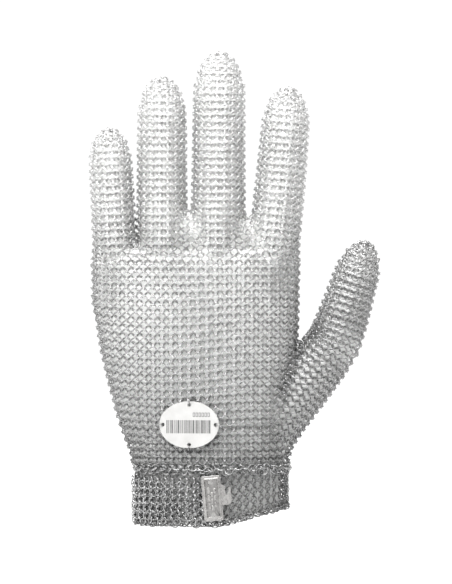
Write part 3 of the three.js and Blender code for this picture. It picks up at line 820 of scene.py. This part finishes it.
FINGER_SPANS = ((-2, 17), (-9, 9), (-8, 8))  # before and after each joint, along the digit
THUMB_SPANS = ((-8, 12), (-9, 9), (-8, 8))
ZONES = {}
for name in DIGIT_JOINTS:
    at = DIGITS[name].joint_at
    spans = THUMB_SPANS if name == "thumb" else FINGER_SPANS
    ZONES[name] = [(at[i] + spans[i][0], at[i] + spans[i][1]) for i in range(3)]
STRETCHES = {name: [(z[0][1] + z[1][0]) / 2, (z[1][1] + z[2][0]) / 2] for name, z in ZONES.items()}
STRETCHES["thumb"][0] = ZONES["thumb"][1][0] - 0.5  # clear of the palm, whose wall the thumb comes out of
THUMB_FOOT_BEND = ((0.0315, 0.0, 0.0700), (0.0492, 0.0, 0.0731))


def stretch_of(name, u):
    cuts = STRETCHES[name]
    return 0 if u < cuts[0] else 1 if u < cuts[1] else 2


def bend_digit(obj, name, stretch):
    digit = DIGITS[name]
    start, end = (digit.at(u) * MM for u in ZONES[name][stretch])
    if name == "thumb" and stretch == 0:
        start, end = THUMB_FOOT_BEND
    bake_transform(obj)


WRIST_START, WRIST_END = 27.0, 42.0


def bend_wrist(obj):
    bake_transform(obj)


JOINT_WORDS = {"thumb": ("root", "knuckle", "end")}
for finger in FINGERS:
    JOINT_WORDS[finger] = ("knuckle", "middle", "end")


def make_ring_mesh():
    parts = {}
    for group in build_all_rings():
        for place, out, up, lean, mark in zip(group.place, group.out, group.up, group.lean, group.mark):
            if mark[0] in DIGITS and len(mark) > 2:
                key = (mark[0], stretch_of(mark[0], mark[1]))
            else:
                z = mark[1]
                finger = mark[0] if mark[0] in FINGERS else None
                u = np.interp(z, DIGITS[finger].path[:, 2], DIGITS[finger].run) if finger else 0
                if finger and u > ZONES[finger][0][0] - 1:
                    key = (finger, 0)
                elif z < 45:
                    key = "wrist"
                else:
                    side = "back" if place[1] < palm_section(place[2])[1] else "palm"
                    key = ("hand_" + side, int(z > 86))
            parts.setdefault(key, []).append(ring_matrix(place, out, up, lean, 1.0))
    total = 0
    for key, matrices in parts.items():
        total += len(matrices)
        if key == "wrist":
            obj = weave("ring_mesh_wrist", matrices, STEEL)
            bend_wrist(obj)
        elif key[0] in DIGITS:
            name, stretch = key
            obj = weave(f"ring_mesh_{name}_{JOINT_WORDS[name][stretch]}", matrices, STEEL)
            bend_digit(obj, name, stretch)
            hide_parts(f"{name}_{DIGIT_LENGTHS[name][stretch]}_mesh")
        else:
            obj = weave(f"ring_mesh_{key[0]}_{'upper' if key[1] else 'lower'}", matrices, STEEL)
            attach(obj, "palm")
            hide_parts("palm_mesh")
    print("rings", total)


# ---- cuff, flap and the seam between cuff and palm ----

CUFF = dict(x=-1.5, half_width=35.5, half_depth=19.5, top=25.6, rise=8.0, rise_from=2.0)
CUFF_ROWS = 96
CUFF_SPACING = 4.2  # between rings up a row
HEM_TO_RING = 1.95
CUFF_PITCH, CUFF_LOOSE = 1.79, 1.3
HEM_RINGS = 128
HEM_RISE, HEM_LEAN, HEM_LOOSE = 1.1, 62, 3.0
SLIT = (-13.2, -10.8)
FLAP_COLUMNS, FLAP_STEP = 104, 1.8
FLAP_ANGLES = (183, 262)
FLAP_STAND_OFF = 1.6
FLAP_SPAN = (2.9, 22.4)
FLAP_LEAN, FLAP_LOOSE = 34, 2.6
SEAM_ROWS = ((25.4, 84), (27.1, 88))  # height, rings round
SEAM_SWELL, SEAM_LEAN, SEAM_LOOSE = 0.5, 40, 5.0


def hem_height(x):
    run = CUFF["half_width"] + CUFF["x"] - CUFF["rise_from"]
    return CUFF["rise"] * max(0.0, x - CUFF["rise_from"]) / run


def cuff_oval(angle, grow=0.0):
    """A place on the cuff's oval, its way out, and the way round."""
    wide = CUFF["half_width"] - RING_DEPTH + grow
    deep = CUFF["half_depth"] - RING_DEPTH + grow
    x, y = CUFF["x"] + wide * math.cos(angle), deep * math.sin(angle)
    out = Vector((math.cos(angle) / wide, math.sin(angle) / deep, 0)).normalized()
    return x, y, out, Vector((-out.y, out.x, 0))


def oval_angles(count, grow=0.0):
    angle = np.linspace(0, 2 * math.pi, 721)
    xy = np.array([cuff_oval(a, grow)[:2] for a in angle])
    run = np.concatenate([[0], np.cumsum(np.hypot(*np.diff(xy, axis=0).T))])
    return np.interp(np.arange(count) / count * run[-1], run, angle)


def make_cuff():
    matrices = []
    for h, angle in enumerate(oval_angles(CUFF_ROWS)):
        x, y, out, around = cuff_oval(angle)
        if y < 0 and SLIT[0] < x < SLIT[1]:
            continue
        z = hem_height(x) + HEM_TO_RING + CUFF_SPACING / 2 * (h % 2)
        while z < CUFF["top"]:
            lean = turned(lean_for(CUFF_PITCH), h)
            matrices.append(ring_matrix((x, y, z), out, around, lean, CUFF_LOOSE))
            z += CUFF_SPACING
    for k, angle in enumerate(oval_angles(HEM_RINGS)):
        x, y, out, _ = cuff_oval(angle)
        if y < 0 and SLIT[0] < x < SLIT[1]:
            continue
        lean = turned(math.radians(HEM_LEAN), k)
        matrices.append(ring_matrix((x, y, hem_height(x) + HEM_RISE), out, (0, 0, 1), lean, HEM_LOOSE))
    obj = weave("ring_mesh_cuff", matrices, STEEL)
    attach(obj, "cuff")
    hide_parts("cuff_mesh")


def make_flap():
    """The flap's own layer, gathered closer than the cuff and a little out of order."""
    matrices = []
    first, last = (math.radians(a) for a in FLAP_ANGLES)
    angles = [a for a in oval_angles(FLAP_COLUMNS, FLAP_STAND_OFF) if first < a < last]
    for h, angle in enumerate(angles):
        x, y, out, around = cuff_oval(angle, FLAP_STAND_OFF)
        z = FLAP_SPAN[0] + FLAP_STEP * (h % 2)
        while z < FLAP_SPAN[1]:
            lean = turned(math.radians(FLAP_LEAN), h)
            matrices.append(ring_matrix((x, y, z), out, around, lean, FLAP_LOOSE))
            z += 2 * FLAP_STEP
    # The flap's rings take the lighter copy of the wire steel: painted light.
    obj = weave("ring_mesh_flap", matrices, GATHERED_STEEL_PAINTED_LIGHT)
    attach(obj, "cuff_flap")
    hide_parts("cuff_flap_mesh")


def make_seam():
    """Gathered rings that join the cuff's band to the palm."""
    matrices = []
    for row, (z, count) in enumerate(SEAM_ROWS):
        for k, angle in enumerate(oval_angles(count)):
            x, y, out, _ = cuff_oval(angle, SEAM_SWELL * (1 + row))
            lean = turned(math.radians(SEAM_LEAN), k + row)
            matrices.append(ring_matrix((x, y, z), out, (0, 0, 1), lean, SEAM_LOOSE))
    # The seam's rings take the lighter copy of the wire steel: painted light.
    obj = weave("ring_mesh_seam", matrices, GATHERED_STEEL_PAINTED_LIGHT)
    bend_wrist(obj)


# ---- clasp ----

CLASP = dict(x=-1.2, z=13.2, lean=-5, stand_off=1.0, width=8.8, height=20.6, plate=0.7, cover_gap=0.3,
             corner=1.0, edge=0.14)
HOOK = dict(reach=4.4, foot=-3.4, top=5.8, corner=2.0, shoulder=0.9, thick=0.6, sunk=0.05,
            prong=1.25, prong_top=4.7, throat=0.7, throat_floor=1.5)
COVER = dict(width=7.6, height=18.8, thick=0.7, corner=0.9, edge=0.26, rim=0.55, slope=0.3, sunk=0.42)
RIBS = 3  # raised bars in each of the cover's columns
RIB = dict(width=0.95, thick=0.6, middle=0.42, gap=0.9, corner=0.3, edge=0.16)
RIB_COLUMNS = ((-1.35, -5.2, 5.6), (0.0, -5.8, 3.4), (1.35, -4.4, 5.0))  # across, lower end, upper end
RIVET_RISE = 7.7  # from the clasp's middle
RIVET_STEPS = ((-1.85, 1.3, 0.35), (-0.7, 0.85, 2.3), (0.45, 1.3, 0.3))  # head, shank, foot
RIVET_EDGE = 0.12
CLASP_FRAME = Matrix.Translation(
    (CLASP["x"] * MM, -(CUFF["half_depth"] + CLASP["stand_off"]) * MM, CLASP["z"] * MM)
) @ Matrix.Rotation(math.radians(CLASP["lean"]), 4, "Y")


def block(bm, middle, size, corner=0.0, edge=0.0):
    """A plate that faces -Y: rounded corners first, then eased edges."""
    matrix = Matrix.Translation(Vector(middle) * MM) @ Matrix.Diagonal((*(v * MM for v in size), 1))
    verts = bmesh.ops.create_cube(bm, size=1, matrix=matrix)["verts"]
    if corner:
        upright = [e for e in {e for v in verts for e in v.link_edges}
                   if abs(e.verts[0].co.y - e.verts[1].co.y) > size[1] * MM / 2]
        made = bmesh.ops.bevel(bm, geom=upright, offset=corner * MM, segments=4, profile=0.5,
                               affect="EDGES", material=-1)
        verts = list({v for f in made["faces"] for v in f.verts} | {v for v in verts if v.is_valid})
    if edge:
        rim = [e for e in {e for v in verts for e in v.link_edges}
               if len(e.link_faces) == 2 and e.calc_face_angle(0) > 1.0]
        bmesh.ops.bevel(bm, geom=rim, offset=edge * MM, segments=2, profile=0.5, affect="EDGES", material=-1)
    return bm


def round_bar(bm, radius, length, place, segments=24):
    """A closed round bar, and the vertices that it is made of."""
    return bmesh.ops.create_cone(bm, cap_ends=True, segments=segments, radius1=radius * MM,
                                 radius2=radius * MM, depth=length * MM, matrix=place)["verts"]


def eased(bm, verts, offset, steps):
    """Rounds the sharp edges of one body."""
    rim = [e for e in {e for v in verts for e in v.link_edges} if e.calc_face_angle(0) > 1.0]
    bmesh.ops.bevel(bm, geom=rim, offset=offset * MM, segments=steps, profile=0.5,
                    affect="EDGES", material=-1)


def finish(name, bm, material, frame_matrix):
    bmesh.ops.recalc_face_normals(bm, faces=bm.faces)
    bm.transform(frame_matrix)
    return piece(name, bm, material)


def arc(middle, radius, first, last, steps):
    """Points along part of a circle, angles in degrees."""
    made = []
    for step in range(steps):
        turn = math.radians(first + (last - first) * step / (steps - 1))
        made.append((middle[0] + radius * math.cos(turn), middle[1] + radius * math.sin(turn)))
    return made


def hook_outline():
    """The hook in the plate's face: a foot, a prong that stands up from it, and a narrow open throat."""
    root, out = CLASP["width"] / 2 - 0.6, CLASP["width"] / 2 + HOOK["reach"]
    corner, half_prong, throat = HOOK["corner"], HOOK["prong"] / 2, HOOK["throat"]
    throat_x = out - HOOK["prong"] - throat
    points = [(root, HOOK["foot"])]
    points += arc((out - corner, HOOK["foot"] + corner), corner, -90, 0, 7)
    points += arc((out - half_prong, HOOK["prong_top"] - half_prong), half_prong, 0, 180, 7)
    points += arc((throat_x, HOOK["throat_floor"] + throat), throat, 0, -180, 7)
    shoulder = HOOK["shoulder"]
    points += arc((throat_x - throat - shoulder, HOOK["top"] - shoulder), shoulder, 0, 90, 5)
    points.append((root, HOOK["top"]))
    return points


def make_hook_plate():
    size = (CLASP["width"], CLASP["plate"], CLASP["height"])
    bm = block(bmesh.new(), (0, -CLASP["plate"] / 2, 0), size, CLASP["corner"], CLASP["edge"])
    verts = [bm.verts.new((x * MM, -HOOK["sunk"] * MM, z * MM)) for x, z in hook_outline()]
    face = bm.faces.new(verts)
    grown = bmesh.ops.extrude_face_region(bm, geom=[face])["geom"]
    raised = [g for g in grown if isinstance(g, bmesh.types.BMVert)]
    bmesh.ops.translate(bm, vec=(0, -HOOK["thick"] * MM, 0), verts=raised)
    plate = finish("clasp_plate_and_hook", bm, PRESSED, CLASP_FRAME)
    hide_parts("clasp_hook_plate")
    return plate


def make_cover():
    """The cover plate: a raised rim round a sunken face with columns of bars."""
    near = -(CLASP["plate"] + CLASP["cover_gap"])
    size = (COVER["width"], COVER["thick"], COVER["height"])
    bm = block(bmesh.new(), (0, near - COVER["thick"] / 2, 0), size, COVER["corner"], COVER["edge"])
    front = max((f for f in bm.faces if f.normal.y < -0.99), key=lambda f: f.calc_area())
    bmesh.ops.inset_region(bm, faces=[front], thickness=COVER["rim"] * MM)
    bmesh.ops.inset_region(bm, faces=[front], thickness=COVER["slope"] * MM, depth=-COVER["sunk"] * MM)
    # The sunken face takes the darker steel copy: painted shade in the recess.
    front.material_index = 1
    for x, low, high in RIB_COLUMNS:
        share = (high - low) / RIBS
        size = (RIB["width"], RIB["thick"], share - RIB["gap"])
        for rib in range(RIBS):
            middle = low + share * (rib + 0.5)
            block(bm, (x, near - RIB["middle"], middle), size, RIB["corner"], RIB["edge"])
    cover = finish("clasp_cover_plate", bm, PRESSED, CLASP_FRAME)
    cover.data.materials.append(SUNKEN_SHADE_STEEL)
    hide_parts("clasp_cover")
    return cover


def make_clasp():
    pieces = [make_hook_plate(), make_cover()]
    for word, z in (("upper", RIVET_RISE), ("lower", -RIVET_RISE)):
        bm = bmesh.new()
        for y, radius, length in RIVET_STEPS:
            turn = Matrix.Translation((0, y * MM, z * MM)) @ Matrix.Rotation(math.pi / 2, 4, "X")
            eased(bm, round_bar(bm, radius, length, turn), RIVET_EDGE, 2)
        rivet = finish(f"clasp_rivet_{word}_head", bm, PRESSED, CLASP_FRAME)
        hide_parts(f"clasp_rivet_{word}")
        pieces.append(rivet)
    for obj in pieces:
        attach(obj, "clasp")


# ---- number tag ----

TAG = dict(width=27.4, height=21.4, thick=0.8, yaw=-6.5, pitch=-1.5, hole=0.85, from_edge=1.6, edge=0.18)
TAG_TIE = dict(radius=1.5, wire=0.5, segments=20, sides=8)
MARK_THICK = 0.08
BARS = dict(start=-10.4, end=10.2, middle=-0.9, height=6.0)
BAR_WIDTHS, BAR_GAPS = (0.26, 0.26, 0.45, 0.62), (0.2, 0.26, 0.36, 0.5)
BOXES = dict(count=6, start=2.2, step=1.35, middle=4.6, half_width=0.38, half_height=0.836, line=0.24,
             tall=1.9, broad=0.6)
tag_low, tag_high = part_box("tag_plate")
TAG_FRAME = (
    Matrix.Translation([(a + b) / 2 for a, b in zip(tag_low, tag_high)])
    @ Matrix.Rotation(math.radians(TAG["yaw"]), 4, "Z")
    @ Matrix.Rotation(math.radians(TAG["pitch"]), 4, "X")
)
TAG_TIES = {
    "top": (0, TAG["height"] / 2 - TAG["from_edge"], 0, 1),
    "bottom": (0, -TAG["height"] / 2 + TAG["from_edge"], 0, -1),
    "little_side": (-TAG["width"] / 2 + TAG["from_edge"], 0, -1, 0),
    "thumb_side": (TAG["width"] / 2 - TAG["from_edge"], 0, 1, 0),
}
FACE_ON = Matrix.Rotation(math.pi / 2, 4, "X")


def drilled(obj, cutter):
    """Cuts one piece by another for good, and throws the cutter away."""
    cut = obj.modifiers.new("Holes", "BOOLEAN")
    cut.object = cutter
    cut.solver = "EXACT"
    bpy.context.view_layer.update()
    made = bpy.data.meshes.new_from_object(obj.evaluated_get(bpy.context.evaluated_depsgraph_get()))
    obj.modifiers.clear()
    obj.data = made
    bpy.data.objects.remove(cutter)


def make_tag():
    bm = bmesh.new()
    oval = Matrix.Diagonal((TAG["width"] / 2 * MM, 1, TAG["height"] / 2 * MM, 1)) @ FACE_ON
    bmesh.ops.create_cone(bm, cap_ends=True, segments=96, radius1=1, radius2=1, depth=TAG["thick"] * MM,
                          matrix=oval)
    rim = [e for e in bm.edges if e.calc_face_angle(0) > 1.0]
    bmesh.ops.bevel(bm, geom=rim, offset=TAG["edge"] * MM, segments=3, profile=0.5,
                    affect="EDGES", material=-1)
    tag = finish("tag_oval_plate", bm, ENAMEL, TAG_FRAME)
    bm = bmesh.new()
    for x, z, _, _ in TAG_TIES.values():
        round_bar(bm, TAG["hole"], 4, Matrix.Translation((x * MM, 0, z * MM)) @ FACE_ON)
    drilled(tag, finish("tag_drill", bm, ENAMEL, TAG_FRAME))
    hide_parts("tag_plate")

    bm = bmesh.new()
    face = -TAG["thick"] / 2
    draw = random.Random(5)
    x = BARS["start"]
    while x < BARS["end"]:
        wide = draw.choice(BAR_WIDTHS)
        block(bm, (x + wide / 2, face, BARS["middle"]), (wide, MARK_THICK, BARS["height"]))
        x += wide + draw.choice(BAR_GAPS)
    line, wide, high = BOXES["line"], BOXES["half_width"], BOXES["half_height"]
    for k in range(BOXES["count"]):
        x = BOXES["start"] + BOXES["step"] * k
        for side in (-1, 1):
            block(bm, (x + side * wide, face, BOXES["middle"]), (line, MARK_THICK, BOXES["tall"]))
            block(bm, (x, face, BOXES["middle"] + side * high), (BOXES["broad"], MARK_THICK, line))
    marks = finish("tag_printed_marks", bm, INK, TAG_FRAME)
    for obj in (tag, marks):
        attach(obj, "palm")

    tie = wire_ring(**TAG_TIE)
    radius = TAG_TIE["radius"]
    for name, (x, z, out_x, out_z) in TAG_TIES.items():
        turn = Matrix.Rotation(0 if out_z == 0 else math.pi / 2, 4, "Y")
        reach = Matrix.Translation(((x + radius * out_x) * MM, 0, (z + radius * out_z) * MM))
        obj = weave(f"tag_tie_{name}", [TAG_FRAME @ reach @ turn], STEEL, tie)
        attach(obj, "palm")
        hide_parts(f"tag_ring_{name}")


# ---- liner ----


def loft(name, rings_of_points, material, cap_end=False):
    """A skin through rounds of points, each round drawn from a circle and bridged to the next."""
    bm = bmesh.new()
    edges = []
    for points in rings_of_points:
        made = bmesh.ops.create_circle(bm, segments=len(points), radius=1)["verts"]
        for vert, point in zip(made, points):
            vert.co = Vector(point) * MM
        edges.append([e for e in bm.edges if e.verts[0] in set(made) and e.verts[1] in set(made)])
    for low, high in zip(edges, edges[1:]):
        bmesh.ops.bridge_loops(bm, edges=low + high)
    if cap_end:
        bmesh.ops.contextual_create(bm, geom=edges[-1])
    bmesh.ops.recalc_face_normals(bm, faces=bm.faces)
    for face in bm.faces:
        face.smooth = True
    return piece(name, bm, material)


def liner_sheet(obj):
    thick = obj.modifiers.new("Thickness", "SOLIDIFY")
    thick.thickness = 0.0005
    thick.offset = -1
    return obj


def digit_liner(name):
    digit = DIGITS[name]
    reach, half, run = profile(digit, -LINER_DEPTH)
    cuts = [run[0] + 1, *[np.interp(c, reach, run) for c in STRETCHES[name]], run[-1] - 0.35]
    for stretch in range(3):
        count = max(3, int((cuts[stretch + 1] - cuts[stretch]) / 2.0))
        rounds = []
        for s in np.linspace(cuts[stretch], cuts[stretch + 1], count + 1):
            u, r = float(np.interp(s, run, reach)), float(np.interp(s, run, half))
            middle, _, side, front = digit.stand(u)
            rounds.append([
                middle + r * (side * math.cos(a) + front * digit.flat * math.sin(a))
                for a in np.linspace(0, 2 * math.pi, 36, endpoint=False)
            ])
        obj = loft(f"liner_{name}_{JOINT_WORDS[name][stretch]}", rounds, KNIT, cap_end=stretch == 2)
        liner_sheet(obj)
        bend_digit(obj, name, stretch)
        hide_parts(f"{name}_{DIGIT_LENGTHS[name][stretch]}_liner")


def palm_liner_round(z, level, shrink=1.0):
    x, y, wide, deep, _ = [float(v) for v in palm_section(np.array([z]))]
    angle = np.linspace(0, 2 * math.pi, 72, endpoint=False)
    start = (x + (wide + 3) * np.cos(angle), y + (deep + 3) * np.sin(angle), np.full(72, float(z)))
    points = np.stack(start, axis=1)
    flat = lambda p: palm_field(np.stack([p[:, 0], p[:, 1], np.full(len(p), float(z))], axis=1))
    for _ in range(8):
        g = slope(flat, points)
        g[:, 2] = 0
        step = (flat(points) - level) / np.maximum((g * g).sum(axis=1), 0.05)
        points -= np.clip(step, -2, 2)[:, None] * g
    centre = np.array([x, y, z])
    return centre + (points - centre) * shrink


WEB_LINER_SIZE = (9.5, 4.9, 15)  # half width, half depth, half height
WEB_LINER_DROP = 17.6  # from the crotch to its middle


def web_liners():
    """The liner's own webs, rounded at each crotch."""
    for left, right, height, x in WEBS:
        bm = bmesh.new()
        size = Matrix.Diagonal((*(v * MM for v in WEB_LINER_SIZE), 1))
        place = Matrix.Translation((x * MM, DIGITS[left].path[0, 1] * MM, (height - WEB_LINER_DROP) * MM))
        bmesh.ops.create_uvsphere(bm, u_segments=32, v_segments=20, radius=1, matrix=place @ size)
        for face in bm.faces:
            face.smooth = True
        obj = piece(f"liner_web_{left}_{right}", bm, KNIT)
        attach(obj, "palm")


LINER_PALM_TOP = 124.0
LINER_CLOSES = ((125.5, 0.97), (126.8, 0.9))  # height and share of the outline where the palm's closes over
LINER_SPANS = (("liner_cuff", 2.0, WRIST_START, "cuff_liner"), ("liner_wrist", WRIST_START, 45.0, None),
               ("liner_palm", 45.0, LINER_PALM_TOP, "palm_liner"))
LINER_STEP = 2.5
CUFF_LINER_INSET = 1.6  # deeper under the cuff than elsewhere
CUFF_LINER_DROP = 0.6  # how much further down than its span it reaches, so that the hem is backed


def palm_liner():
    for name, low, high, node in LINER_SPANS:
        heights = list(np.linspace(low, high, max(4, int((high - low) / LINER_STEP))))
        rounds = [palm_liner_round(z, -LINER_DEPTH - (CUFF_LINER_INSET if z < 30 else 0)) for z in heights]
        if name == "liner_cuff":
            for points in rounds:
                hem = np.array([hem_height(x) for x in points[:, 0]])
                run = high - low - hem + CUFF_LINER_DROP
                points[:, 2] = high - (high - points[:, 2]) * run / (high - low)
        if name == "liner_palm":
            for z, shrink in LINER_CLOSES:
                closing = palm_liner_round(LINER_PALM_TOP, -LINER_DEPTH, shrink)
                rounds.append(closing + (0, 0, z - LINER_PALM_TOP))
        obj = loft(name, rounds, KNIT, cap_end=name == "liner_palm")
        liner_sheet(obj)
        if name == "liner_wrist":
            bend_wrist(obj)
        else:
            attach(obj, "cuff" if name == "liner_cuff" else "palm")
        if node:
            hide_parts(node)


# ---- camera, light and floor ----


VIEW_MIDDLE = (0.00506, -0.006, 0.1072)
VIEW_HEIGHT = 0.2686  # what the picture takes in, from bottom to top, at the glove
FLOOR_Z = -0.06


def studio():
    scene = bpy.context.scene
    scene.view_settings.view_transform = "Standard"
    lens = bpy.data.cameras.new("camera")
    lens.lens = 200
    lens.sensor_width = 36
    camera = bpy.data.objects.new("camera", lens)
    scene.collection.objects.link(camera)
    away = VIEW_HEIGHT / 2 / math.tan(math.atan(lens.sensor_width / 2 / lens.lens))
    camera.location = (VIEW_MIDDLE[0], VIEW_MIDDLE[1] - away, VIEW_MIDDLE[2])
    camera.rotation_euler = (math.pi / 2, 0, 0)
    lens.clip_start, lens.clip_end = 0.01, 20
    scene.camera = camera

    world = bpy.data.worlds.new("studio")
    scene.world = world
    world.use_nodes = True
    nodes, links = world.node_tree.nodes, world.node_tree.links
    way = nodes.new("ShaderNodeTexCoord")
    split = nodes.new("ShaderNodeSeparateXYZ")
    links.new(way.outputs["Generated"], split.inputs["Vector"])
    span = nodes.new("ShaderNodeMapRange")
    span.inputs["From Min"].default_value = -1.0
    links.new(split.outputs["Y"], span.inputs["Value"])
    room = ramp(nodes, links, span.outputs["Result"], [(0.1, grey(0.22)), (0.42, grey(1.0))])
    links.new(room.outputs["Color"], nodes["Background"].inputs["Color"])
    nodes["Background"].inputs["Strength"].default_value = 1.06

    def panel(name, place, aim, size, power):
        light = bpy.data.lights.new(name, "AREA")
        light.shape = "RECTANGLE"
        light.size, light.size_y = size
        light.energy = power
        obj = bpy.data.objects.new(name, light)
        obj.location = place
        obj.rotation_euler = (Vector(aim) - Vector(place)).to_track_quat("-Z", "Y").to_euler()
        scene.collection.objects.link(obj)

    panel("top_light", (-0.05, -0.42, 0.62), (0, 0, 0.19), (0.5, 0.35), 6.8)
    panel("left_light", (-0.8, -0.5, 0.35), (0, 0, 0.12), (0.4, 0.6), 4.2)
    panel("backdrop_light", (0, 2.2, 1.5), (0, 1.7, 0), (3.5, 2.6), 42)

    material, nodes, links, shader = new_material("pale floor")
    tone = noise(nodes, links, 3.0)
    shaded(nodes, links, shader, "Base Color", tone, [(0.3, grey(0.9)), (0.7, grey(0.93))])
    shader.inputs["Roughness"].default_value = 0.8
    bm = bmesh.new()
    place = Matrix.Translation((0, 0, FLOOR_Z))
    bmesh.ops.create_grid(bm, x_segments=1, y_segments=1, size=3.0, matrix=place)
    floor = piece("floor", bm, material)


make_ring_mesh()
make_cuff()
make_flap()
make_seam()
make_clasp()
make_tag()
web_liners()
for digit_name in DIGITS:
    digit_liner(digit_name)
palm_liner()
studio()
